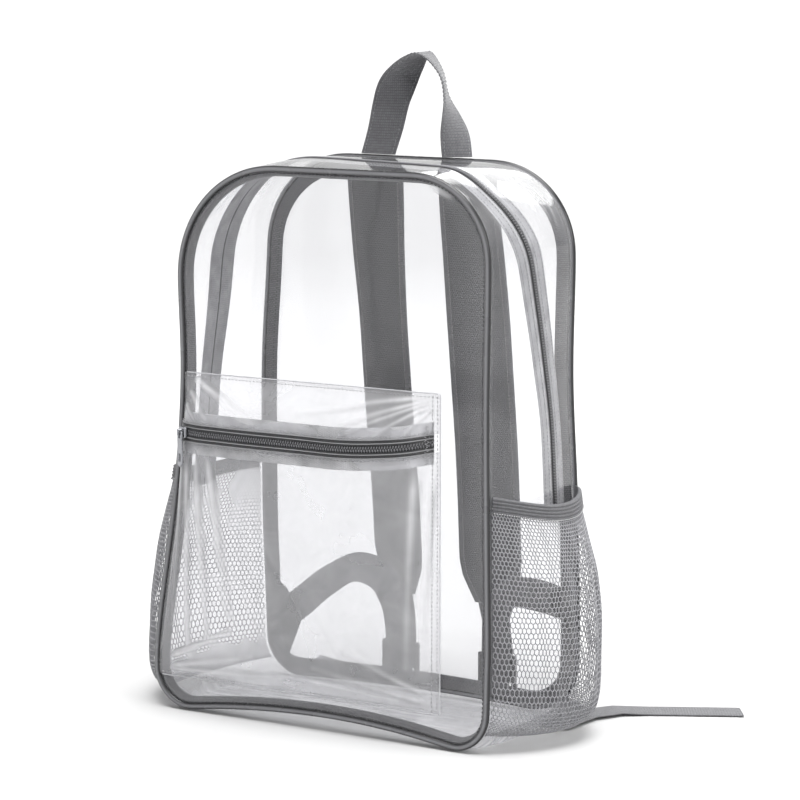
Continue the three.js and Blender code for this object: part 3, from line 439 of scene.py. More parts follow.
def edge(face, step, inset=0.0):
    """Points of an outline moved in from its outer edge, as x and z, and the directions that point out."""
    place = (np.asarray(step, float) * PER_STEP) % COUNT
    low = np.floor(place).astype(int)
    part = (place - low)[..., None]
    low, high = low % COUNT, (low + 1) % COUNT
    point = OUTLINE[face][low] * (1 - part) + OUTLINE[face][high] * part
    normal = NORMAL[face][low] * (1 - part) + NORMAL[face][high] * part
    normal = unit(normal)
    return point - normal * inset, normal


def on_plane(face, step, inset, depth=0.0):
    flat, _ = edge(face, step, inset)
    y = np.full(flat.shape[:-1], PLANE[face] + depth)
    return np.stack([flat[..., 0], y, flat[..., 1]], axis=-1)


ALL_STEPS = np.arange(COUNT) / PER_STEP
print(f"outlines: {COUNT} points each, top at {OUTLINE['front'][:, 1].max():.1f} mm")

# %% [markdown]
# ## Bars placed by Geometry Nodes
# Stitches and zip teeth repeat thousands of times. A Geometry Nodes tree puts one small rounded bar on
# every point and turns it by two stored directions: along the seam and out of the cloth. Array or
# particle tools could do it too, but here each point says which way its own bar lies.

# %% Geometry Nodes for bars
def bar_tree():
    tree = bpy.data.node_groups.new("rounded bar at every point", "GeometryNodeTree")
    tree.interface.new_socket("Points", in_out="INPUT", socket_type="NodeSocketGeometry")
    for name in ("Length", "Width", "Height"):
        tree.interface.new_socket(name, in_out="INPUT", socket_type="NodeSocketFloat")
    tree.interface.new_socket("Finish", in_out="INPUT", socket_type="NodeSocketMaterial")
    tree.interface.new_socket("Bars", in_out="OUTPUT", socket_type="NodeSocketGeometry")
    given = add(tree, "NodeGroupInput").outputs
    along = add(tree, "GeometryNodeInputNamedAttribute", {"Name": "along"}, data_type="FLOAT_VECTOR")
    out = add(tree, "GeometryNodeInputNamedAttribute", {"Name": "out"}, data_type="FLOAT_VECTOR")
    turn = add(tree, "FunctionNodeAxesToRotation", {0: along.outputs[0], 1: out.outputs[0]},
               primary_axis="X", secondary_axis="Z")
    ball = add(tree, "GeometryNodeMeshUVSphere", {"Segments": 7, "Rings": 4, "Radius": 0.5})
    size = add(tree, "ShaderNodeCombineXYZ", {
        "X": given["Length"], "Y": given["Width"], "Z": given["Height"]})
    bar = add(tree, "GeometryNodeTransform", {"Geometry": ball.outputs["Mesh"], "Scale": size.outputs[0]})
    placed = add(tree, "GeometryNodeInstanceOnPoints", {
        "Points": given["Points"], "Instance": bar.outputs[0], "Rotation": turn.outputs[0]})
    real = add(tree, "GeometryNodeRealizeInstances", {"Geometry": placed.outputs[0]})
    done = add(tree, "GeometryNodeSetMaterial", {"Geometry": real.outputs[0], "Material": given["Finish"]})
    add(tree, "NodeGroupOutput", {"Bars": done.outputs[0]})
    return tree


BAR_TREE = bar_tree()


def grow(name, mesh, tree, values):
    """Runs a Geometry Nodes tree on a mesh and keeps the result as a plain mesh object."""
    source = new_object(name + "_source", mesh)
    modifier = source.modifiers.new("grow", "NODES")
    modifier.node_group = tree
    for item in tree.interface.items_tree:
        if item.in_out == "INPUT" and item.name in values:
            modifier[item.identifier] = values[item.name]
    graph = bpy.context.evaluated_depsgraph_get()
    result = bpy.data.meshes.new_from_object(source.evaluated_get(graph), depsgraph=graph)
    bpy.data.objects.remove(source)
    result.name = name
    result.shade_smooth()
    return new_object(name, result)


def bars(name, points, along, out, size, material):
    mesh = bpy.data.meshes.new(name + "_points")
    mesh.from_pydata((np.asarray(points) * MM).tolist(), [], [])
    for key, value in (("along", along), ("out", out)):
        mesh.attributes.new(key, "FLOAT_VECTOR", "POINT").data.foreach_set(
            "vector", np.asarray(value, float).ravel())
    length, width, height = (v * MM for v in size)
    return grow(name, mesh, BAR_TREE, {
        "Length": length, "Width": width, "Height": height, "Finish": material})


def spaced(path, pitch):
    """Points a fixed distance apart on a path, with the direction of the path at each."""
    run = lengths(path)
    at = np.arange(pitch / 2, run[-1], pitch)
    along = between(at + 0.3, run, path) - between(at - 0.3, run, path)
    return between(at, run, path), unit(along), at / run[-1]


def stitches(name, paths, out, material=None, pitch=3.2, size=(2.3, 0.6, 0.5)):
    """Rows of stitches along paths; out is the direction that faces away from the cloth."""
    found = [spaced(np.asarray(path, float), pitch)[:2] for path in paths]
    points = np.vstack([p for p, _ in found])
    along = np.vstack([a for _, a in found])
    facing = np.broadcast_to(np.asarray(out, float), points.shape)
    return bars(name, points, along, facing, size, material or THREAD)


# %% [markdown]
# ## Piping and binding
# Each panel is sewn to the gusset with a bead of piping between them, and a strip of grosgrain covers
# the raw edges inside. The bead is a round section carried along the outline. The binding is folded
# round the edges of both films: the front one leans into the bag, and the back one lies flat on its
# panel. A curve with a bevel would make the bead as well; a loft gives both pieces from the same outline
# and keeps their distance exact.

# %% Piping and binding
BEAD_SIDES, SEAM_INSET, SEAM_LIFT = 14, 5.6, 0.75


def piping(face):
    flat, normal = edge(face, ALL_STEPS, BEAD_RADIUS)
    angles = np.linspace(0, 2 * math.pi, BEAD_SIDES, endpoint=False)
    sections = []
    for (x, z), (nx, nz) in zip(flat, normal):
        sections.append([(x + nx * BEAD_RADIUS * math.cos(a), PLANE[face] + BEAD_RADIUS * math.sin(a),
                          z + nz * BEAD_RADIUS * math.cos(a)) for a in angles])
    bead = loft(f"{face}_piping_bead", sections, BEAD, closed=True)
    # painted shade: 1 at the bead's sides, where it turns from the light into its seam
    bead.data.attributes.new("painted_side_shade", "FLOAT", "POINT").data.foreach_set(
        "value", np.tile(np.abs(np.cos(angles)), len(sections)))
    return bead


BINDING_PROFILE = {
    "front": [(4.4, 1.2), (5.6, 1.0), (6.9, 2.2), (8.3, 5.0), (8.7, 8.2), (8.0, 9.4), (7.2, 8.4),
              (6.4, 5.4), (5.2, 3.0)],
    "back": [(4.4, 1.0), (8.0, 0.9), (12.0, 0.9), (15.0, 1.0), (15.6, 1.6), (15.0, 2.2), (12.0, 2.4),
             (8.0, 2.6), (5.2, 2.8)],
}
BINDING_WEAVE = [0, 1, 3, 7, 11, 12, 13, 17, 20, 21]  # where the weave lies at each corner, in mm


def binding(face, inward):
    rows = [on_plane(face, ALL_STEPS, inset, inward * lift) for inset, lift in BINDING_PROFILE[face]]
    return loft(f"{face}_binding_tape", np.stack(rows, axis=1), BINDING, closed=True, across=BINDING_WEAVE)


for face, inward in (("front", 1), ("back", -1)):
    dress(piping(face), "piping", f"{face}_piping")
    dress(binding(face, inward), "binding_tape", f"{face}_binding")
    seam = on_plane(face, ALL_STEPS, SEAM_INSET, -inward * SEAM_LIFT)
    sewn = stitches(f"{face}_seam_stitches", [np.vstack([seam, seam[:1]])], (0, -inward, 0), DARK_THREAD,
                    size=(2.4, 0.8, 0.5))
    dress(sewn, "binding_tape")
    print(f"{face} seam: {lengths(seam)[-1]:.0f} mm round, {len(sewn.data.polygons)} faces of stitches")

# %% [markdown]
# ## Front and back panels
# A panel is a flat cut of film, held all round. It pillows out a little, and shallow waves run in from
# the corners where the seam gathers it. The grid has a row for each height and the waves are moves
# of its points, because real waves bend the reflections, which a bump alone can't do at the edges. A
# small slanting patch of glare, a painted highlight, lies on the front panel over the right strap.

# %% Panels
GLARE_X, GLARE_Z, GLARE_SLOPE, GLARE_LENGTH, GLARE_WIDTH = 102, 417, 0.45, 9, 3.2
PANEL_INSET, PANEL_TINT = 5.0, 0.09


def glare(x, z):
    along, across = x - GLARE_X, z - GLARE_Z + (x - GLARE_X) * GLARE_SLOPE
    return 0.55 * math.exp(-((along / GLARE_LENGTH) ** 2 + (across / GLARE_WIDTH) ** 2) ** 2)


def panel(face, out, rows=110, columns=76):
    v = np.linspace(0, 1, rows)
    u = np.linspace(0, 1, columns)
    step = BASE + v * (TOP_START - BASE)
    left, _ = edge(face, LOOP - step, PANEL_INSET)
    right, _ = edge(face, step, PANEL_INSET)
    base, _ = edge(face, (2 * u - 1) * BASE, PANEL_INSET)
    bow = base - (base[0] + (base[-1] - base[0]) * u[:, None])
    flat = left[:, None] + (right - left)[:, None] * u[None, :, None]
    flat = flat + bow[None] * ((1 - v) ** 2)[:, None, None]
    hold = (np.sin(math.pi * u)[None] * np.sin(math.pi * v)[:, None]) ** 0.5
    depth = np.zeros((rows, columns))
    haze_and_painted_highlight = np.zeros((rows, columns))
    for j in range(rows):
        for i in range(columns):
            x, z = flat[j, i]
            slow = noise.noise(Vector((x / 90, z / 120, 3.0 if out < 0 else 9.0)))
            fine = noise.noise(Vector((x / 26 + z / 160, z / 75, 5.0)))
            near = max(0.0, 1 - 8 * min(u[i], 1 - u[i], v[j], 1 - v[j]))  # 1 at the seam, 0 further in
            depth[j, i] = 1.6 * hold[j, i] + 1.8 * slow * hold[j, i] + 0.9 * fine * near * hold[j, i]
            haze_and_painted_highlight[j, i] = 0.01 + 0.10 * near**2
            # painted highlight: the glare patch is painted into the front panel's milkiness
            if out < 0:
                haze_and_painted_highlight[j, i] += glare(x, z)
    points = np.stack([flat[..., 0], PLANE[face] + out * depth, flat[..., 1]], axis=-1)
    shade = np.full(haze_and_painted_highlight.shape, PANEL_TINT)
    return grid(f"{face}_film", points, FILM, {"haze_and_painted_highlight": haze_and_painted_highlight, "shade": shade}, flip=out > 0)


for face, out in (("front", -1), ("back", 1)):
    film = dress(panel(face, out), "clear_vinyl", f"{face}_panel")
    print(f"{face} panel: {len(film.data.polygons)} faces")

# %% [markdown]
# ## Gusset
# The gusset is the wall between the two seams. A point on it is given by the step and by its share of
# the way from front to back. It swells between the seams, crowns a little along the top, and sags flat
# where the bag stands. Film bent round the corners crumples, so waves cross it there.

# %% The gusset's surface
FIRST = (BEAD_RADIUS + GAP) / DEPTH  # the share at which the front seam ends
ZIP_END = 178
SWELL_SIDES, SWELL_BASE, SWELL_TOP = 6, 14, 3
STEP_MOVE, SHARE_MOVE = 0.03, 0.004


def gusset(step, share):
    step, share = np.broadcast_arrays(np.asarray(step, float), np.asarray(share, float))
    front, n0 = edge("front", step, BEAD_RADIUS - WALL / 2)
    back, n1 = edge("back", step, BEAD_RADIUS - WALL / 2)
    mix = share[..., None]
    flat, normal = front + (back - front) * mix, n0 + (n1 - n0) * mix
    down, up = np.maximum(0, -normal[..., 1]) ** 2, np.maximum(0, normal[..., 1]) ** 2
    swell = SWELL_SIDES * (1 - down - up) + SWELL_BASE * down + SWELL_TOP * up
    swell = swell * 4 * share * (1 - share)
    flat = flat + normal * swell[..., None]
    return np.stack([flat[..., 0], PLANE["front"] + DEPTH * share, np.maximum(0, flat[..., 1])], axis=-1)


def out_of_gusset(step, share):
    """The direction away from the bag, from two short moves on the gusset."""
    along = gusset(step + STEP_MOVE, share) - gusset(step - STEP_MOVE, share)
    across = gusset(step, share + SHARE_MOVE) - gusset(step, share - SHARE_MOVE)
    return unit(np.cross(across, along))


def side_step(face, hand, height):
    top, bottom = corner_radii(face, hand)
    step = SIDE_START + (height - GAP - bottom) / (HEIGHT - top - bottom - GAP) * SIDE
    return step if hand == "right" else LOOP - step


RIGHT_END, LEFT_END = side_step("front", "right", ZIP_END), side_step("front", "left", ZIP_END)
print(f"main zip: from step {RIGHT_END:.2f} to step {LEFT_END:.2f}")

# %% [markdown]
# The main zip splits the upper gusset in two. It doesn't run straight: it starts low and far back on the
# right side, comes forward at the shoulder, and wanders back over the top, as the table of shares says.
# The haze is strongest where the film turns a corner and along its base, and it breaks into streaks.

# %% The zip's line and the gusset's films
ZIP_LINE = {"along": [0, 0.06, 0.10, 0.15, 0.20, 0.26, 0.34, 0.50, 0.66, 0.80, 0.87, 0.93, 1.0],
            "share": [0.70, 0.67, 0.58, 0.44, 0.34, 0.26, 0.34, 0.46, 0.54, 0.55, 0.49, 0.39, 0.36]}


def zip_share(step):
    return through((step - RIGHT_END) / (LEFT_END - RIGHT_END), ZIP_LINE["along"], ZIP_LINE["share"])


def film_band(name, first, last, start, end, rows, columns):
    """A strip of gusset from one step to another, between two lines of shares."""
    step = np.linspace(first, last, rows)[:, None]
    v = np.linspace(0, 1, columns)[None]
    share = start(step) + (end(step) - start(step)) * v
    step = np.broadcast_to(step, share.shape)
    points = gusset(step, share)
    normal = out_of_gusset(step, share)
    wave = np.zeros(share.shape)
    haze_and_painted_highlight = np.zeros(share.shape)
    for j in range(rows):
        for i in range(columns):
            x, y, z = points[j, i]
            turn = abs(normal[j, i, 0] * normal[j, i, 2]) * 2
            wave[j, i] = noise.noise(Vector((x / 28, y / 90, z / 28))) * (0.5 + 1.5 * turn)
            near = max(0.0, 1 - 9 * min(v[0, i], 1 - v[0, i]))
            base = max(0.0, -normal[j, i, 2]) ** 2
            streak = abs(noise.noise(Vector((x / 60, y / 9, z / 60)))) * (turn + base)
            haze_and_painted_highlight[j, i] = 0.02 + 0.10 * turn + 0.22 * base + 0.9 * streak**2 + 0.10 * near**2
    wave *= (np.sin(math.pi * v) ** 0.5)
    points = points + normal * wave[..., None]
    points[..., 2] = np.maximum(points[..., 2], 0.0)
    return grid(name, points, FILM, {"haze_and_painted_highlight": haze_and_painted_highlight})


def front_seam(step):
    return FIRST + 0 * step


def back_seam(step):
    return 1 - FIRST + 0 * step


LIP = 6 / DEPTH  # from the middle of the zip to the film's edge
BANDS = [("gusset_film_front", "gusset_front", RIGHT_END, front_seam, lambda s: zip_share(s) - LIP, 220, 16),
         ("gusset_film_back", "gusset_back", RIGHT_END, lambda s: zip_share(s) + LIP, back_seam, 220, 16),
         ("lower_gusset_film", "lower_gusset", LEFT_END - LOOP, front_seam, back_seam, 200, 34)]
for name, node, first, start, end, rows, columns in BANDS:
    last = RIGHT_END if node == "lower_gusset" else LEFT_END
    film = dress(film_band(name, first, last, start, end, rows, columns), "clear_vinyl", node)
    print(f"{name}: {len(film.data.polygons)} faces")

# %% [markdown]
# ## Zips
# A coil zip is two tapes, each with a nylon coil sewn along its edge; closed, the loops of the coils
# lie side by side like two plaits. Each loop is one bar across the zip, slightly turned, over a dark
# core, and the bars of the two sides are half a pitch apart. A real coil has a loop every 1.5 mm; here
# it is 2.2 mm so that single loops can be seen.

# %% Tapes
def ribbon(name, path, across, width, thickness, material, cells=6):
    """A flat tape with rounded edges: a path of points, and the direction of its width at each."""
    path, across = np.asarray(path, float), unit(np.asarray(across, float))
    normal = unit(np.cross(np.gradient(path, axis=0), across))
    w = np.linspace(-0.5, 0.5, cells + 1)
    rise = 1 - (2 * np.abs(w)) ** 6 * 0.5
    low = [(a, -r / 2) for a, r in zip(w, rise)]
    ring = low + [(a, -t) for a, t in low[::-1]]
    width = np.broadcast_to(width, len(path))
    sections = [path + across * (a * width)[:, None] + normal * (t * thickness) for a, t in ring]
    spread = [a * width.max() for a, _ in ring]
    return loft(name, np.stack(sections, axis=1), material, across=spread + [spread[0]])


# %% [markdown]
# One function makes both zips, since they differ only in size and in the cloth of the tape: two tapes, a
# core, the loops and the thread that holds the coil down, all laid along one line.

# %% Zip coils
LOOP_PITCH, CHAIN_PITCH, COIL_DEPTH, TAPE_DEPTH, SLIT = 1.1, 2.4, 0.2, 1.3, 0.9


def zip_line(name, middle, across, out, half_tape, half_coil, tape):
    """Tapes, core, loops and thread along a line; out is the direction away from the bag."""
    for side, node in ((-1, [f"{name}_tape"]), (1, [])):
        centre = middle + across * side * (SLIT + half_tape) / 2 - out * TAPE_DEPTH
        dress(ribbon(f"{name}_tape_{'ab'[side > 0]}", centre, across, half_tape - SLIT, 0.7, tape),
              "zip_tape", *node)
    core = ribbon(f"{name}_coil_core", middle - out * COIL_DEPTH, across, half_coil * 2, 1.0, COIL)
    dress(core, "zip_coil", f"{name}_coil")
    points, along, share = spaced(middle, LOOP_PITCH)
    run = lengths(middle) / lengths(middle)[-1]
    aside, away = between(share, run, across), between(share, run, out)
    side = np.where(np.arange(len(points)) % 2, 1.0, -1.0)[:, None]
    dress(bars(f"{name}_coil_loops", points + aside * side * half_coil * 0.45 + away * 0.35,
               aside + along * side * 0.25, away, (half_coil * 1.1, 1.05, 1.5), TEETH), "zip_coil")
    chains = []
    for sign in (-1, 1):
        held, held_along, at = spaced(middle + across * sign * (half_coil + 0.5), CHAIN_PITCH)
        held_out = between(at, run, out)
        chains.append((held - held_out * 0.6, held_along, held_out))
    held, held_along, held_out = (np.vstack(part) for part in zip(*chains))
    dress(bars(f"{name}_coil_stitches", held, held_along, held_out, (1.8, 0.7, 0.7), GREY_THREAD), "zip_tape")
    print(f"{name}: {len(points)} loops on {lengths(middle)[-1]:.0f} mm")


# %% Main zip
zip_steps = np.linspace(RIGHT_END - 0.3, LEFT_END + 0.3, 420)
zip_middle = gusset(zip_steps, zip_share(zip_steps))
zip_out = out_of_gusset(zip_steps, zip_share(zip_steps))
zip_across = unit(np.cross(zip_out, np.gradient(zip_middle, axis=0)))
zip_line("main_zip", zip_middle, zip_across, zip_out, 18.0, 3.0, ZIP_TAPE)
zip_rows = [zip_middle + zip_across * side * d - zip_out * 0.7 for side in (-1, 1) for d in (8.2, 15.5)]
dress(stitches("main_zip_stitches", zip_rows, (0, 0, 1), GREY_THREAD, size=(2.2, 0.6, 0.5)), "zip_tape")

# %% [markdown]
# ## Front pocket
# The pocket is one more sheet of film, sewn to the front panel on three sides and lifted by its zip:
# it stands out most along the zip and falls back to the seams. Its film is creased where the zip pulls
# it. The table gives how far it stands out across and up, as shares of the full 21 mm.

# %% The pocket's surface
POCKET_TOP, POCKET_BOTTOM, POCKET_RIGHT, PROUD = 268, 27, 103, 21
ZIP_HEIGHT, POCKET_FLAT = 224, DEPTH / 2 + WALL / 2 + GAP + WALL
LIFTED = 8  # how far the zip is pulled up at the right end
POCKET_ACROSS = {"u": [0, 0.03, 0.08, 0.2, 0.5, 0.8, 0.92, 0.975, 1.0],
                 "proud": [0, 0.48, 0.78, 0.95, 1, 0.95, 0.6, 0, 0]}
POCKET_UP = {"up": [0, 0.03, 0.10, 0.26, 0.51, 0.75, 0.82, 0.89, 0.93, 0.98, 1],
             "proud": [0, 0.16, 0.42, 0.66, 0.9, 1, 1, 0.9, 0.56, 0.14, 0],
             "lift": [0, 0, 0.1, 0.3, 0.7, 1, 1, 0.8, 0.4, 0, 0]}
left_steps = np.linspace(LOOP - BASE - 1, LOOP - TOP_START + 1, 200)
left_edge, _ = edge("front", left_steps, BEAD_RADIUS * 2 + GAP)


def pocket(u, height):
    """A point of the pocket; u runs from its left seam to its right one."""
    u, height = np.broadcast_arrays(np.asarray(u, float), np.asarray(height, float))
    up = (height - POCKET_BOTTOM) / (POCKET_TOP - POCKET_BOTTOM)
    left = np.interp(height, left_edge[:, 1], left_edge[:, 0])
    across = through(u, POCKET_ACROSS["u"], POCKET_ACROSS["proud"])
    proud = through(up, POCKET_UP["up"], POCKET_UP["proud"])
    rise = through(up, POCKET_UP["up"], POCKET_UP["lift"]) * np.maximum(0, (u - 0.6) / 0.4) ** 2
    y = -POCKET_FLAT - PROUD * np.maximum(across * proud, 0)
    return np.stack([left + (POCKET_RIGHT - left) * u, y, height + LIFTED * rise], axis=-1)


print(f"pocket: {POCKET_RIGHT - left_edge[:, 0].min():.0f} mm wide, {POCKET_TOP - POCKET_BOTTOM} mm high")

# %% [markdown]
# Film that was folded keeps its creases. Each is a short line from a seam into the sheet, as two places
# (u and height) and a width in mm. Its crest stands out and carries a painted highlight; the side
# beside it gets painted shade.

# %% Creases and the pocket's films
POCKET_SPAN = 230  # mm for u from 0 to 1, to measure a crease with


def crease(u, height, start, end, width):
    """A fold between two places on the pocket: its crest and its flank at a point, each from 0 to 1."""
    a, b = np.array(start, float) * (POCKET_SPAN, 1), np.array(end, float) * (POCKET_SPAN, 1)
    p = np.array([u * POCKET_SPAN, height], float)
    t = np.clip(np.dot(p - a, b - a) / np.dot(b - a, b - a), 0, 1)
    away = p - a - (b - a) * t
    side = math.copysign(np.linalg.norm(away), (b - a)[0] * away[1] - (b - a)[1] * away[0])
    fade = (1 - 0.6 * t) * min(1.0, 6 * t + 0.2)
    return math.exp(-((side / width) ** 2)) * fade, math.exp(-(((side - width) / width) ** 2)) * fade


FOLDS = [((0.97, 264), (0.62, 238), 2.6), ((0.97, 262), (0.70, 236), 2.2), ((0.96, 258), (0.80, 234), 2.4),
         ((0.96, 266), (0.50, 248), 2.6), ((0.97, 256), (0.90, 233), 1.8), ((0.04, 264), (0.20, 250), 2.4),
         ((0.03, 256), (0.14, 236), 2.2), ((0.03, 246), (0.09, 234), 1.8), ((0.06, 262), (0.30, 240), 2.6),
         ((0.03, 212), (0.06, 70), 2.6), ((0.06, 212), (0.13, 46), 3.0), ((0.10, 214), (0.20, 60), 3.2),
         ((0.15, 212), (0.27, 90), 3.4), ((0.93, 212), (0.90, 60), 3.0), ((0.97, 200), (0.94, 80), 2.4),
         ((0.97, 34), (0.58, 50), 2.8), ((0.96, 40), (0.70, 66), 2.6), ((0.04, 34), (0.36, 52), 2.6),
         ((0.05, 42), (0.28, 70), 2.6), ((0.03, 32), (0.50, 40), 2.2), ((0.55, 40), (0.86, 34), 2.2)]


LAST_FREE, CREST, WANDER, SINK = 0.97, 1.0, 1.4, 0.8  # u of the right seam, and moves in mm


def pocket_sheet(name, low, high, node, rows, columns=150):
    u = np.linspace(0, 1, columns)[None]
    height = np.linspace(low, high, rows)[:, None]
    points = pocket(u, height)
    normal = unit(np.cross(np.gradient(points, axis=1), np.gradient(points, axis=0)))
    wave, haze_and_painted_highlight, shade = (np.zeros(points.shape[:2]) for _ in range(3))
    for j in range(rows):
        for i in range(columns):
            folds = np.array([crease(u[0, i], height[j, 0], *row) for row in FOLDS])
            free = math.sin(math.pi * u[0, i] / LAST_FREE) ** 0.4 if u[0, i] < LAST_FREE else 0.0
            slow = noise.noise(Vector((points[j, i, 0] / 34, points[j, i, 2] / 60, 1.0)))
            wave[j, i] = (CREST * folds[:, 0].sum() - SINK + WANDER * slow) * free
            # painted highlight on each fold's crest, painted shade on the side beside it
            haze_and_painted_highlight[j, i] = 0.19 + 0.10 * min(1.0, u[0, i] / 0.4) + 0.05 * slow + 0.55 * folds[:, 0].max() ** 2
            shade[j, i] = min(1.0, 0.75 * folds[:, 1].max() ** 2)
    points = points + normal * wave[..., None]
    points[..., 1] = np.minimum(points[..., 1], -POCKET_FLAT)
    dress(grid(name, points, FILM, {"haze_and_painted_highlight": haze_and_painted_highlight, "shade": shade}), "clear_vinyl", node)
    print(f"{name}: {len(FOLDS)} creases looked up at {wave.size} points")


ZIP_WINDOW = 7  # from the middle of the zip to the film on either side
pocket_sheet("pocket_face_film", POCKET_BOTTOM, ZIP_HEIGHT - ZIP_WINDOW, "pocket_face", 130)
pocket_sheet("pocket_flap_film", ZIP_HEIGHT + ZIP_WINDOW, POCKET_TOP, "pocket_flap", 44)

# %% [markdown]
# The pocket's zip has pale and dark cords woven into its tape on both sides of the coil. They are thin
# ribbons that follow the coil. The stitches that hold the pocket run round it in rows, and a zigzag
# bars the zip's end.

# %% Pocket zip and stitches
pocket_u = np.linspace(0.02, 0.975, 200)
pocket_middle = pocket(pocket_u, ZIP_HEIGHT)
pocket_up = unit(pocket(pocket_u, ZIP_HEIGHT + 2.0) - pocket(pocket_u, ZIP_HEIGHT - 2.0))
pocket_out = unit(np.cross(np.gradient(pocket_middle, axis=0), pocket_up))
zip_line("pocket_zip", pocket_middle, pocket_up, pocket_out, 16.0, 2.4, POCKET_TAPE_PAINTED_LIGHTER)
CORDS = [("dark_inner", 2.9, 1.0, COIL), ("pale_inner", 4.1, 0.9, GREY_THREAD),
         ("dark_outer", 5.5, 1.6, COIL), ("pale_outer", 7.0, 0.9, GREY_THREAD)]
for side in (-1, 1):
    for cord, aside, wide, material in CORDS:
        line = pocket_middle + pocket_up * side * aside + pocket_out * 0.3
        dress(ribbon(f"pocket_zip_{cord}_{'ab'[side > 0]}", line, pocket_up, wide, 1.2, material), "zip_coil")
ON_TOP = np.array([0, -0.6, 0])
across_pocket, up_pocket = np.linspace(0.01, 0.992, 200), np.linspace(POCKET_BOTTOM, POCKET_TOP, 200)
seams = [pocket(across_pocket, POCKET_TOP - 2.5), pocket(across_pocket, POCKET_BOTTOM + 2),
         pocket(0.972, up_pocket), pocket(0.990, up_pocket),
         pocket(pocket_u, ZIP_HEIGHT + 9), pocket(pocket_u, ZIP_HEIGHT - 9)]
turns = [(0.955 + 0.010 * (k % 2), ZIP_HEIGHT - 15 + k * 1.5) for k in range(21)]
zigzag = np.array([pocket(*turn) - (0, 1.8, 0) for turn in turns])
sewn = stitches("pocket_stitches", [row + ON_TOP for row in seams] + [zigzag], (0, -1, 0), GREY_THREAD,
                size=(2.4, 0.7, 0.5))
dress(sewn, "clear_vinyl")
print(f"pocket stitches: {sum(lengths(row)[-1] for row in seams):.0f} mm in {len(seams)} rows")

# %% [markdown]
# The film's cut edge is thick enough to catch the light: a fine round rim runs round the pocket outside
# its stitches. Its pale grey is a painted highlight, since the clear edge has no colour of its own; its gloss
# is real.

# %% Cut edge of the pocket
# painted highlight: the clear cut edge is painted pale grey
CUT_EDGE_PAINTED_HIGHLIGHT = moulded("cut_edge_of_film_painted_highlight", "#b4b4b7", 0.2)
RIM_RADIUS, RIM_SIDES = 0.45, 6
RIMS = {"top": pocket(across_pocket, POCKET_TOP + 0.2), "bottom": pocket(across_pocket, POCKET_BOTTOM - 0.5),
        "right": pocket(1.0, up_pocket)}
for name, path in RIMS.items():
    angles = np.linspace(0, 2 * math.pi, RIM_SIDES, endpoint=False)
    run = unit(np.gradient(path, axis=0))
    beside = np.cross(run, (0, 1.0, 0))
    ahead = np.cross(beside, run)
    sections = [path + ON_TOP + (beside * math.cos(a) + ahead * math.sin(a)) * RIM_RADIUS for a in angles]
    dress(loft(f"pocket_rim_{name}", np.stack(sections, axis=1), CUT_EDGE_PAINTED_HIGHLIGHT), "clear_vinyl")
print(f"rims: {sum(lengths(path)[-1] for path in RIMS.values()):.0f} mm of cut edge")

# %% [markdown]
# ## Side pockets
# A side pocket is a pouch of warp-knit net, gathered along the bottom and held by an elastic hem. The
# net is a lattice of six-sided holes about 4 mm wide; a real one has twice as many, too fine to show
# here. The lattice is drawn flat, laid on the pouch, and Geometry Nodes turns each of its edges into a
# thin strand. An image with holes would be lighter, but it would vanish edge-on, where a net looks
# densest.

# %% The pouch and its net
POUCH = {"along": [0, 0.08, 0.14, 0.25, 0.40, 0.56, 0.70, 0.87, 1.0],
         "up": [0, 0.012, 0.04, 0.10, 0.31, 0.52, 0.70, 0.88, 1.0],
         "dip": [0, 0.20, 0.27, 0.20, 0.05, 0, 0, 0, 0],
         "out": [0, 0.38, 0.68, 0.92, 1.0, 1.0, 0.93, 0.72, 0.53]}
NET_BULGE, HEM_TOP, HEM_HEIGHT, NET_BOTTOM = 35, 190, 10, 14
FULLER_BEHIND = 0.28  # the net hangs fuller towards the back
OFF_GUSSET = 1.2
SIGN = {"right": 1, "left": -1}


def step_at(hand, height, share):
    """The step at which the gusset's side reaches a height, found by halving."""
    low, high = np.full(np.shape(height), float(BASE)), np.full(np.shape(height), float(SIDE_END))
    for _ in range(22):
        middle = (low + high) / 2
        step = middle if hand == "right" else LOOP - middle
        under = gusset(step, share)[..., 2] < height
        low, high = np.where(under, middle, low), np.where(under, high, middle)
    return low if hand == "right" else LOOP - low


def pouch_point(hand, s, height, out, dip=0.0, margin=1.0):
    s, height, out, dip = np.broadcast_arrays(*(np.asarray(v, float) for v in (s, height, out, dip)))
    first = FIRST + margin / DEPTH
    share = first + (1 - 2 * first) * s
    point = gusset(step_at(hand, height, share), share)
    full = np.sin(math.pi * np.clip(s, 0, 1)) ** 0.6
    point[..., 0] += SIGN[hand] * (OFF_GUSSET + NET_BULGE * out * full)
    point[..., 2] -= NET_BULGE * dip * full
    return point


def pouch_top(s):
    return HEM_TOP + 4 - 7.5 * np.sin(math.pi * s) - 11 * s


def net_point(hand, s, along):
    top = pouch_top(s) - HEM_HEIGHT * 0.8
    height = NET_BOTTOM + (top - NET_BOTTOM) * through(along, POUCH["along"], POUCH["up"])
    fuller = 1 + FULLER_BEHIND * s * (1 - along ** 3)
    return pouch_point(hand, s, height, through(along, POUCH["along"], POUCH["out"]) * fuller,
                       np.maximum(0, through(along, POUCH["along"], POUCH["dip"])))


belly = net_point("right", np.linspace(0, 1, 50), np.full(50, 0.5))
print(f"right pouch: {lengths(belly)[-1]:.0f} mm round, {belly[:, 0].max():.0f} mm from the middle at most")

# %% [markdown]
# The tree turns each line of the lattice into a tube with closed ends. It works on curves, so the strands
# meet at their corners without any join to model.

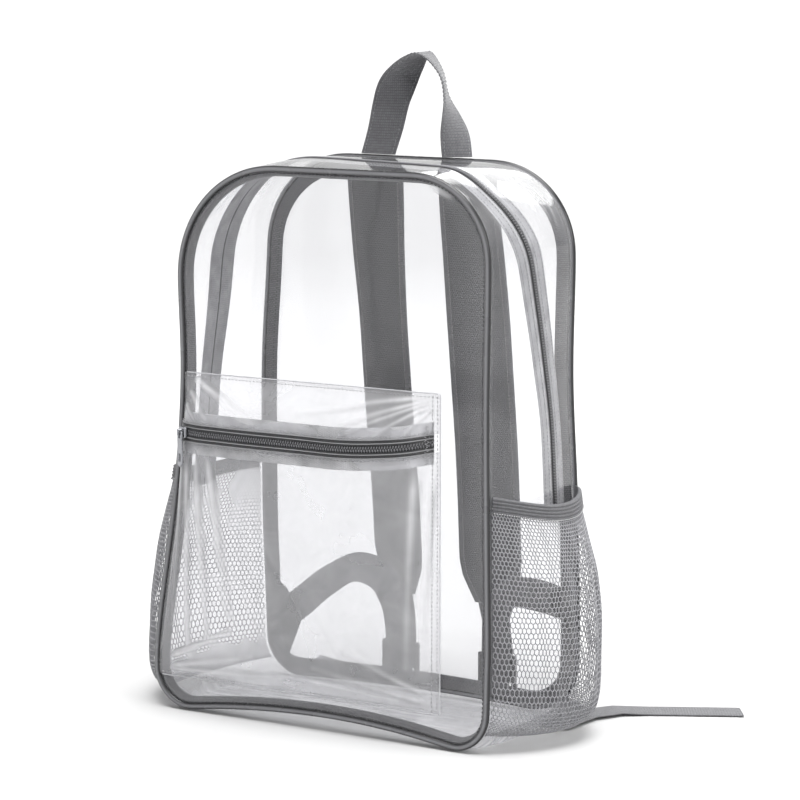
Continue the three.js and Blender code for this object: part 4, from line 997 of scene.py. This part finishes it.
# %% Geometry Nodes for strands, and the lattice
def net_tree():
    tree = bpy.data.node_groups.new("strands along edges", "GeometryNodeTree")
    tree.interface.new_socket("Lattice", in_out="INPUT", socket_type="NodeSocketGeometry")
    tree.interface.new_socket("Strand Radius", in_out="INPUT", socket_type="NodeSocketFloat")
    tree.interface.new_socket("Finish", in_out="INPUT", socket_type="NodeSocketMaterial")
    tree.interface.new_socket("Net", in_out="OUTPUT", socket_type="NodeSocketGeometry")
    given = add(tree, "NodeGroupInput").outputs
    lines = add(tree, "GeometryNodeMeshToCurve", {"Mesh": given["Lattice"]})
    circle = add(tree, "GeometryNodeCurvePrimitiveCircle", {
        "Resolution": 5, "Radius": given["Strand Radius"]})
    tubes = add(tree, "GeometryNodeCurveToMesh", {
        "Curve": lines.outputs[0], "Profile Curve": circle.outputs[0], "Fill Caps": True})
    real = add(tree, "GeometryNodeRealizeInstances", {"Geometry": tubes.outputs[0]})
    done = add(tree, "GeometryNodeSetMaterial", {"Geometry": real.outputs[0], "Material": given["Finish"]})
    add(tree, "NodeGroupOutput", {"Net": done.outputs[0]})
    return tree


ZIGZAG = 0.17  # how far each corner is moved up or down, as a share of a row


def hex_lattice(columns, rows):
    """Corners and edges of a field of staggered hexagons on the unit square."""
    corners, edges, index = [], set(), {}

    def corner(i, j):
        if (i, j) not in index:
            shift = (1 if (i + j) % 2 == 0 else -1) * ZIGZAG / rows if 0 < j < rows else 0
            index[(i, j)] = len(corners)
            corners.append((i / (2 * columns), j / rows + shift))
        return index[(i, j)]

    for j in range(rows + 1):
        for i in range(2 * columns):
            edges.add((corner(i, j), corner(i + 1, j)))
    for j in range(rows):
        for i in range(j % 2, 2 * columns + 1, 2):
            edges.add((corner(i, j), corner(i, j + 1)))
    return np.array(corners), sorted(edges)


NET_TREE = net_tree()
flat_net, net_edges = hex_lattice(50, 56)
print(f"lattice: {len(flat_net)} corners, {len(net_edges)} edges")

# %% [markdown]
# The lattice is laid on each pouch so that the holes keep one width all round it. A slow noise lets it
# wander, and fine waves gather it towards the hem.

# %% Nets
STRAND_RADIUS = 0.42
spread = np.linspace(0, 1, 400)
for hand in ("right", "left"):
    round_pouch = lengths(net_point(hand, spread, np.full(400, 0.5)))
    wander = np.array([noise.noise(Vector((s * 5, a * 6, SIGN[hand]))) for s, a in flat_net])
    inside = np.sin(math.pi * flat_net[:, 0]) * np.sin(math.pi * flat_net[:, 1])
    even = np.interp(flat_net[:, 0] * round_pouch[-1], round_pouch, spread)
    s = even + 0.010 * wander * inside
    along = np.clip(flat_net[:, 1] + 0.012 * np.roll(wander, 7) * inside, 0, 1)
    places = net_point(hand, s, along)
    gather = np.sin(flat_net[:, 0] * 70 + 3 * wander) * (0.5 + 0.9 * flat_net[:, 1] ** 2)
    places[:, 0] += SIGN[hand] * (1.6 * wander + gather) * inside
    mesh = bpy.data.meshes.new(f"{hand}_lattice")
    mesh.from_pydata((places * MM).tolist(), net_edges, [])
    made = grow(f"side_net_knit_{hand}", mesh, NET_TREE, {
        "Strand Radius": STRAND_RADIUS * MM, "Finish": STRAND})
    dress(made, "net", f"side_net_{hand}")
    print(f"{hand} net: {len(net_edges)} strands, {len(made.data.polygons)} faces")


# %% [markdown]
# ## Elastic hems
# The hem of a side pocket is a doubled elastic with five fine ribs, sewn to the net with a row of
# short stitches along its lower edge. Its section is drawn once with the ribs in it and carried round
# the mouth of the pouch.

# %% Hems
RIBS, RIB_LIFT, ELASTIC_LIFT, HEM_MARGIN, STITCH_LIFT = 5, 0.9, 2.0, 2.4, 2.9


def moved_out(line, hand, lift):
    """A level line round a pouch, moved away from the bag."""
    return line + unit(np.cross(np.gradient(line, axis=0), (0, 0, 1.0)) * SIGN[hand]) * lift


def hem(hand):
    s = np.linspace(0, 1, 90)
    ring = []
    for w in np.arange(31) / 30:
        rib = RIB_LIFT * abs(math.sin(math.pi * w * RIBS))
        ring.append((w * 1.25 - 0.22, ELASTIC_LIFT + rib - 1.2 * (abs(2 * w - 1) ** 8)))
    ring += [(1.03, 0.3), (0.5, 0.0), (-0.22, 0.3)]
    rows = [moved_out(pouch_point(hand, s, pouch_top(s) - HEM_HEIGHT * (1 - w), 0.53 - 0.06 * w,
                                  margin=HEM_MARGIN), hand, lift) for w, lift in ring]
    body = loft(f"side_hem_elastic_{hand}", np.stack(rows, axis=1), ELASTIC)
    line = pouch_point(hand, s, pouch_top(s) - HEM_HEIGHT * 1.14, 0.54, margin=HEM_MARGIN)
    points, along, _ = spaced(moved_out(line, hand, STITCH_LIFT), 2.0)
    out = np.tile((float(SIGN[hand]), 0, 0), (len(points), 1))
    thread = bars(f"side_hem_stitches_{hand}", points, along, out, (1.4, 0.8, 0.6), THREAD)
    return body, thread, len(points)


for hand in ("right", "left"):
    body, thread, count = hem(hand)
    dress(body, "hem_elastic", f"side_hem_{hand}")
    dress(thread, "hem_elastic")
    print(f"{hand} hem: {count} stitches")

# %% [markdown]
# ## Webbing
# Handle, strap ends and tails are flat webbing. Each is a path through a few places, with the
# direction of its width at each place, so it can twist as the real one does. The handle's rows say how
# far along the seam it is, how high, and how many degrees it is turned; it is pleated at its right foot.

# %% Handle
HANDLE_SPAN, HANDLE_RISE, HANDLE_WIDTH, HANDLE_THICK = 71.5, 80, 31, 1.6
PLEATED, PLEAT_START = 24, 0.78


def swept(rows, samples):
    """Smooth path and width directions through rows of (place, across)."""
    places = np.array([row[0] for row in rows], float)
    across = unit(np.array([row[1] for row in rows], float))
    run = lengths(places)
    at = np.linspace(0, run[-1], samples)
    return through(at, run, places), through(at, run, across)


def turned(degrees):
    angle = math.radians(degrees)
    return (math.cos(angle), math.sin(angle), 0.0)


HANDLE = [(-0.50, 0.00, 0), (-0.41, 0.24, 3), (-0.32, 0.54, 12), (-0.17, 0.82, 54), (0.07, 1.00, 98),
          (0.29, 0.82, 114), (0.37, 0.56, 112), (0.43, 0.38, 90), (0.47, 0.22, 66), (0.50, 0.00, 44)]
handle_path, handle_across = swept([((a * HANDLE_SPAN, PLANE["back"], HEIGHT + GAP + up * HANDLE_RISE),
                                     turned(turn)) for a, up, turn in HANDLE], 110)
handle_width = np.interp(np.linspace(0, 1, len(handle_path)), [0, PLEAT_START, 1],
                         [HANDLE_WIDTH, HANDLE_WIDTH, PLEATED])
dress(ribbon("handle_webbing", handle_path, handle_across, handle_width, HANDLE_THICK, WEBBING, cells=14),
      "webbing", "carry_handle")
handle_unit = unit(handle_across)
handle_out = unit(np.cross(np.gradient(handle_path, axis=0), handle_unit))
rows = [handle_path + handle_unit * (side * 0.41 * handle_width)[:, None] + handle_out * face * 0.9
        for side in (-1, 1) for face in (-1, 1)]
dress(stitches("handle_stitches", rows, (0, 0, 1), GREY_THREAD, size=(2.3, 0.7, 0.5)), "webbing")
print(f"handle: {lengths(handle_path)[-1]:.0f} mm of webbing")

# %% [markdown]
# Each shoulder strap ends in a ladder lock, near the floor behind the bag. Webbing comes down to it from
# the padded strap, a second length rises from it in an arch to a tab at the lower corner, and the loose
# tail lies on the floor; the right one is folded back under the bag's corner. The tables hold shares of
# the bag's half width, of the straps' swing and of the arch's height, and the direction of the width.

# %% Tables for the straps and their webbing
LOCK = {"left": -36, "right": 54}
LOCK_PLANE, LOCK_FOOT = PLANE["back"] + 35, 0.1 + 1.4 + 0.3
LOCK_TOP = LOCK_FOOT + 30
PAD_FACE = PLANE["back"] + WALL / 2 + GAP
PAD_ROWS = {"up": [0.9877, 0.930, 0.815, 0.698, 0.581, 0.465, 0.349, 0.245, 0.215, 0.165],
            "back": [0, 0.05, 0.20, 0.37, 0.53, 0.70, 0.88, 1.0, 1.0, 0.97],
            "left": [0.98, 0.98, 1, 1, 1, 1, 1, 1, 0.97, 0.93],
            "right": [0.98, 0.98, 1.02, 1.04, 1.05, 1.05, 1.02, 1.0, 1.02, 1.08],
            "wide": [1, 1, 1, 1, 1, 1, 1, 1, 0.92, 0.54],
            "thick": [1, 1, 1, 1, 1, 1, 1, 1, 0.9, 0.45]}


PAD_SPACING, PAD_START, PAD_SWING, PAD_TURN = 43, 4, 38, 12.5
ARCH_HEIGHT, WEB_WIDTH, WEB_THICK = 92, 25, 1.4


def pad_places(hand):
    rows = []
    for side, back, up in zip(PAD_ROWS[hand], PAD_ROWS["back"], PAD_ROWS["up"]):
        rows.append(((SIGN[hand] * PAD_SPACING * side, PAD_FACE + PAD_START + PAD_SWING * back, HEIGHT * up),
                     turned(SIGN[hand] * PAD_TURN * min(1, back * 3))))
    return rows


ARCHES = {
    "left": [(-0.900, 0.00, 0.48, -0.70, 0.00, 0.70), (-0.787, 0.22, 0.63, -0.64, 0.10, 0.76),
             (-0.613, 0.45, 0.87, -0.50, 0.30, 0.80), (-0.453, 0.63, 1.00, -0.05, 0.45, 0.89),
             (-0.330, 0.80, 0.93, 0.55, 0.35, 0.72), (-0.262, 0.93, 0.70, 0.95, 0.10, 0.20)],
    "right": [(0.905, 0.00, 0.92, 0.00, 0.00, 1.00), (0.787, 0.25, 0.95, 0.00, 0.15, 0.99),
              (0.620, 0.48, 0.96, -0.10, 0.25, 0.96), (0.480, 0.68, 0.93, -0.50, 0.30, 0.80),
              (0.392, 0.84, 0.75, -0.92, 0.10, 0.35)],
}
TAILS = {
    "left": [(0.16, 0, 0.00, 0, 90), (0.50, 0, 0.02, 0, 88), (0.80, 0, 0.08, 0, 100),
             (1.00, 0, 0.15, 0, 108)],
    "right": [(0.270, 0, 0.008, 0, 90), (0.557, 0, 0.004, 0, 88), (0.760, 0, -0.016, 0, 66),
              (0.905, 0, -0.080, 0, 30), (0.963, 0, -0.168, 0, 6), (0.973, 0, -0.248, 0, 0),
              (0.980, 0, -0.300, 0, 0), (0.987, 0, -0.306, 0.5, 0), (0.993, 0, -0.300, 1, 0),
              (1, 0, -0.248, 1, 0), (1, 0.034, -0.136, 1, -14), (1, 0.176, -0.032, 0.8, -43),
              (1, 0.363, 0.024, 0, -56), (1, 0.559, 0.068, 0, -60), (1, 1, 0.162, 0, -57)],
}
REACH = {"left": 130, "right": 250}
FOLD = {"left": 130, "right": WIDTH / 2 - 2}
print(f"ladder locks: {LOCK['left']} and {LOCK['right']} mm from the middle, tails to {REACH} mm")

# %% [markdown]
# The three lengths of webbing on each side are ribbons. The fold of the right tail is kept as tight as
# the table has it, with straight lines between its places, because a smooth curve would open it.

# %% Webbing behind the bag
ARCH_START = PAD_FACE + 1.2 + GAP + WEB_THICK / 2
ARCH_PLANE = LOCK_PLANE - 2 - GAP - WEB_THICK / 2
TAPE_PLANE = LOCK_PLANE + 2 + GAP + WEB_THICK / 2


def webbing(name, node, path, across):
    dress(ribbon(name, path, across, WEB_WIDTH, WEB_THICK, WEBBING, cells=10), "webbing", node)
    print(f"{name}: {lengths(path)[-1]:.0f} mm")


for hand in ("left", "right"):
    x = LOCK[hand]
    rows = [((a * WIDTH / 2, ARCH_START + (ARCH_PLANE - ARCH_START) * back, up * ARCH_HEIGHT), (ax, ay, az))
            for a, back, up, ax, ay, az in ARCHES[hand]]
    rows += [((x, ARCH_PLANE, z + 4.5), (-SIGN[hand], 0, 0)) for z in (LOCK_TOP, LOCK_FOOT)]
    webbing(f"lower_webbing_tape_{hand}", f"lower_webbing_{hand}", *swept(rows, 90))
    low, low_turn = pad_places(hand)[-1]
    halfway = (low[0] + (x - low[0]) * 0.6, TAPE_PLANE + (low[1] - TAPE_PLANE) * 0.4, (low[2] + LOCK_TOP) / 2)
    rows = [((low[0], low[1], low[2] - GAP), low_turn), (halfway, turned(0)),
            ((x, TAPE_PLANE, LOCK_TOP), turned(0)), ((x, TAPE_PLANE, LOCK_TOP - 8.5), turned(0))]
    webbing(f"pad_webbing_tape_{hand}", f"pad_webbing_{hand}", *swept(rows, 40))
    rows = [((SIGN[hand] * (a * FOLD[hand] + far * (REACH[hand] - FOLD[hand])), LOCK_PLANE + b * REACH[hand],
              0.8 + layer * 1.8), turned(turn)) for a, far, b, layer, turn in TAILS[hand]]
    if hand == "left":
        path, across = swept(rows, 120)
    else:
        path, across = (np.array([row[k] for row in rows], float) for k in (0, 1))
        fine = np.linspace(0, len(rows) - 1, 8 * (len(rows) - 1) + 1)
        path, across = between(fine, range(len(rows)), path), between(fine, range(len(rows)), across)
    webbing(f"tail_webbing_{hand}", f"strap_tail_{hand}", path, across)

# %% [markdown]
# ## Padded shoulder straps
# A shoulder strap is two layers of cloth sewn together round foam. The foam fills it out between the
# seams, and cloth simulation does just that: the edges are pinned where they are sewn, and a
# pressure inside lifts the rest. The sewn edge is bound with a narrow tape and stitched.

# %% Padded straps
PAD_WIDTH, PAD_THICK, SEWN = 49, 6.0, 0.42


def padded_strap(hand):
    path, across = swept(pad_places(hand), 118)
    run = lengths(np.array([row[0] for row in pad_places(hand)], float))
    at = np.linspace(0, run[-1], len(path))
    wide = np.interp(at, run, PAD_ROWS["wide"])
    thick = np.interp(at, run, PAD_ROWS["thick"])
    across = unit(across)
    normal = unit(np.cross(np.gradient(path, axis=0), across))
    ring = [(a, -0.5 * (1 - (2 * abs(a)) ** 4) - 0.06) for a in np.linspace(-0.5, 0.5, 17)]
    ring += [(a, -t) for a, t in ring[::-1]]
    sections = np.stack([path + across * (a * PAD_WIDTH * wide)[:, None]
                         + normal * (t * PAD_THICK * thick)[:, None] for a, t in ring], axis=1)
    spread = [a * PAD_WIDTH for a, _ in ring]
    strap = loft(f"shoulder_pad_cover_{hand}", sections, PAD_CLOTH, across=spread + [spread[0]])
    sewn = strap.vertex_groups.new(name="sewn")
    rings, size = sections.shape[:2]
    fixed = [j * size + i for j in range(rings) for i in range(size)
             if abs(ring[i][0]) > SEWN or j < 2 or j > rings - 3]
    sewn.add(fixed, 1.0, "REPLACE")
    edges = [(path + across * (side * 0.47 * PAD_WIDTH * wide)[:, None], across, normal) for side in (-1, 1)]
    return strap, edges


# %% [markdown]
# The simulation runs for a few frames and its result is written back to the mesh. Its lift is capped,
# because foam stops cloth from blowing up like a balloon.

# %% Foam
FOAM_FRAMES = 18


def fill_with_foam(strap, pressure=3.0, cap=2.4):
    before = np.empty(len(strap.data.vertices) * 3, np.float32)
    strap.data.vertices.foreach_get("co", before)
    modifier = strap.modifiers.new("foam", "CLOTH")
    settings = modifier.settings
    settings.quality, settings.mass = 5, 0.2
    settings.tension_stiffness = settings.compression_stiffness = 12
    settings.bending_stiffness = 0.6
    settings.use_pressure, settings.uniform_pressure_force = True, pressure
    settings.effector_weights.gravity = 0
    settings.vertex_group_mass = "sewn"
    modifier.point_cache.frame_start, modifier.point_cache.frame_end = 1, FOAM_FRAMES
    for number in range(1, FOAM_FRAMES + 1):
        scene.frame_set(number)
    graph = bpy.context.evaluated_depsgraph_get()
    after = np.empty_like(before)
    strap.evaluated_get(graph).data.vertices.foreach_get("co", after)
    strap.modifiers.remove(modifier)
    scene.frame_set(1)
    move = (after - before).reshape(-1, 3)
    far = np.linalg.norm(move, axis=1)
    move *= (np.minimum(far, cap * MM) / np.maximum(far, 1e-9))[:, None]
    strap.data.vertices.foreach_set("co", (before.reshape(-1, 3) + move).ravel())
    strap.data.update()
    return float(far.max() / MM)


for hand in ("left", "right"):
    strap, edges = padded_strap(hand)
    moved = fill_with_foam(strap)
    dress(strap, "pad_cloth", f"shoulder_pad_{hand}")
    for k, (path, across, normal) in enumerate(edges):
        dress(ribbon(f"pad_binding_{hand}_{k}", path, across, 5.5, 3.0, BINDING, cells=6), "binding_tape")
        rows = [path - across * (k * 2 - 1) * 1.5 + normal * side * 1.75 for side in (-1, 1)]
        dress(stitches(f"pad_stitches_{hand}_{k}", rows, (0, 1, 0), GREY_THREAD), "binding_tape")
    print(f"{hand} shoulder pad: foam lifts the cloth {moved:.1f} mm at most")

# %% [markdown]
# ## Buckles, sliders and tabs
# These are small hard pieces whose shape the frame already has. A copy of each is merged, its flat
# triangles are joined and its edges are rounded, because no moulded or cast edge is sharp, and a
# rounded edge is what catches the light.

# %% Rounded copies of hard pieces
def rounded(node, name, material, radius, segments=3):
    work = bmesh.new()
    work.from_mesh(nodes[node].data)
    bmesh.ops.remove_doubles(work, verts=work.verts, dist=0.00002)
    bmesh.ops.dissolve_limit(work, angle_limit=math.radians(3), verts=work.verts, edges=work.edges)
    sharp = [e for e in work.edges if len(e.link_faces) == 2 and e.calc_face_angle(0) > math.radians(25)]
    bmesh.ops.bevel(work, geom=sharp, offset=radius * MM, segments=segments, profile=0.5, affect="EDGES",
                    clamp_overlap=True)
    mesh = bpy.data.meshes.new(name)
    work.to_mesh(mesh)
    work.free()
    mesh.shade_smooth()
    mesh.set_sharp_from_angle(angle=math.radians(40))
    return new_object(name, mesh, material)


HARD = [("ladder_lock_left", "ladder_lock_moulding_left", BUCKLE, 0.9, "buckle_plastic"),
        ("corner_tab_left", "corner_tab_cloth_left", BINDING, 0.4, "binding_tape"),
        ("ladder_lock_right", "ladder_lock_moulding_right", BUCKLE, 0.9, "buckle_plastic"),
        ("corner_tab_right", "corner_tab_cloth_right", BINDING, 0.4, "binding_tape"),
        ("main_zip_slider", "main_slider_casting", NICKEL, 0.9, "zip_metal"),
        ("pocket_zip_slider", "pocket_slider_casting", NICKEL, 0.4, "zip_metal"),
        ("pocket_zip_pull", "pocket_pull_casting", NICKEL, 0.45, "zip_metal")]
for node, name, material, radius, slot in HARD:
    piece = rounded(node, name, material, radius)
    dress(piece, slot, node, body="pull" if node == "pocket_zip_pull" else "bag")
    print(f"{name}: {len(piece.data.polygons)} faces, edges rounded by up to {radius} mm")

# %% [markdown]
# ## Light, floor and camera
# The photograph is a studio picture on white, lit mostly from above and a little from the right, with
# hardly a shadow. A wide sun straight overhead gives the first, and the sky fills in. The sky is one
# thing to the camera, which sees plain white, and another to reflections, which see soft grey bands
# between bright panels, because clear film only shows by what it reflects.

# %% Floor
REACH_OF_FLOOR, BELOW = 60, -0.4 * MM
floor_corners = [(x * REACH_OF_FLOOR, y * REACH_OF_FLOOR, BELOW)
                 for x, y in ((-1, -1), (1, -1), (1, 1), (-1, 1))]
floor_mesh = bpy.data.meshes.new("floor")
floor_mesh.from_pydata(floor_corners, [], [(0, 1, 2, 3)])
paint, tree = start_material("matt_pale_backdrop")
speckle = add(tree, "ShaderNodeTexNoise", {
    "Vector": add(tree, "ShaderNodeTexCoord").outputs["Object"], "Scale": 3.0, "Detail": 2.0})
end_material(tree, add(tree, "ShaderNodeBsdfPrincipled", {
    "Base Color": shades(tree, speckle.outputs["Fac"], [(0.0, "#bebebe"), (1.0, "#c2c2c2")]),
    "Roughness": 0.9}).outputs[0])
new_object("floor", floor_mesh, paint)
print(f"floor: {2 * REACH_OF_FLOOR} m each way")

# %% [markdown]
# The world node tree asks what kind of ray it is: one straight from the camera, one from a glossy
# surface, or one that only brings light. The patches are a noise, stretched upwards.

# %% World
world = bpy.data.worlds.new("studio")
scene.world = world
world.use_nodes = True
tree = world.node_tree
tree.nodes.clear()
direction = add(tree, "ShaderNodeTexCoord").outputs["Generated"]
turn = add(tree, "ShaderNodeMapping", {"Vector": direction, "Scale": (1.6, 1.6, 0.5)})
patches = add(tree, "ShaderNodeTexNoise", {"Vector": turn.outputs[0], "Scale": 1.6, "Detail": 1.0})
mirrored = add(tree, "ShaderNodeBackground", {
    "Color": shades(tree, patches.outputs["Fac"], [(0.38, "#b4b4b7"), (0.50, "#e4e4e6"), (0.58, "#ffffff")]),
    "Strength": 1.0}).outputs[0]
WHITE = (1, 1, 1, 1)
plain = add(tree, "ShaderNodeBackground", {"Color": WHITE, "Strength": 1.0}).outputs[0]
filling = add(tree, "ShaderNodeBackground", {"Color": WHITE, "Strength": 0.5}).outputs[0]
ray = add(tree, "ShaderNodeLightPath").outputs
seen = add(tree, "ShaderNodeMixShader", {0: ray["Is Glossy Ray"], 1: filling, 2: mirrored}).outputs[0]
seen = add(tree, "ShaderNodeMixShader", {0: ray["Is Camera Ray"], 1: seen, 2: plain}).outputs[0]
add(tree, "ShaderNodeOutputWorld", {"Surface": seen})
print(f"world: {len(tree.nodes)} nodes")

# %% [markdown]
# The sun is the wide light overhead, and two large soft boxes stand right of the bag and behind it. A ray
# may have to cross many layers of clear film and net, so the limit on transparent bounces is raised;
# past the limit a ray turns black.

# %% Lights
def lamp(name, kind, place, target, energy, **settings):
    data = bpy.data.lights.new(name, kind)
    data.energy = energy
    for key, value in settings.items():
        setattr(data, key, value)
    thing = bpy.data.objects.new(name, data)
    scene.collection.objects.link(thing)
    thing.location = place
    aim(thing, target)
    print(f"{name}: {energy} at {place}")


def aim(thing, target):
    thing.rotation_euler = (Vector(target) - thing.location).to_track_quat("-Z", "Y").to_euler()


lamp("overhead_light", "SUN", (0.3, -0.2, 3.0), (0, 0, 0), 5.0, angle=math.radians(50))
lamp("right_softbox", "AREA", (2.4, -0.5, 1.3), (0, 0, 0.25), 30, shape="RECTANGLE", size=1.4, size_y=1.4)
lamp("back_softbox", "AREA", (-0.6, 2.4, 1.6), (0, 0, 0.25), 22, shape="RECTANGLE", size=1.8, size_y=1.0)
scene.cycles.transparent_max_bounces = 64

# %% [markdown]
# The camera stands where the photograph was taken from: right of the bag's front, a little above it,
# 2.4 m away with a long lens. The Standard view keeps the plain white of the picture white.

# %% Camera
camera = bpy.data.objects.new("camera", bpy.data.cameras.new("camera"))
scene.collection.objects.link(camera)
camera.location = (1.2305, -2.0053, 0.6065)
aim(camera, (0.0188, 0.0113, 0.2465))
camera.data.sensor_width, camera.data.lens = 36, 139.05
camera.data.clip_start, camera.data.clip_end = 0.1, 200
scene.camera = camera
scene.view_settings.view_transform = "Standard"
print(f"camera: lens {camera.data.lens:.2f} mm")
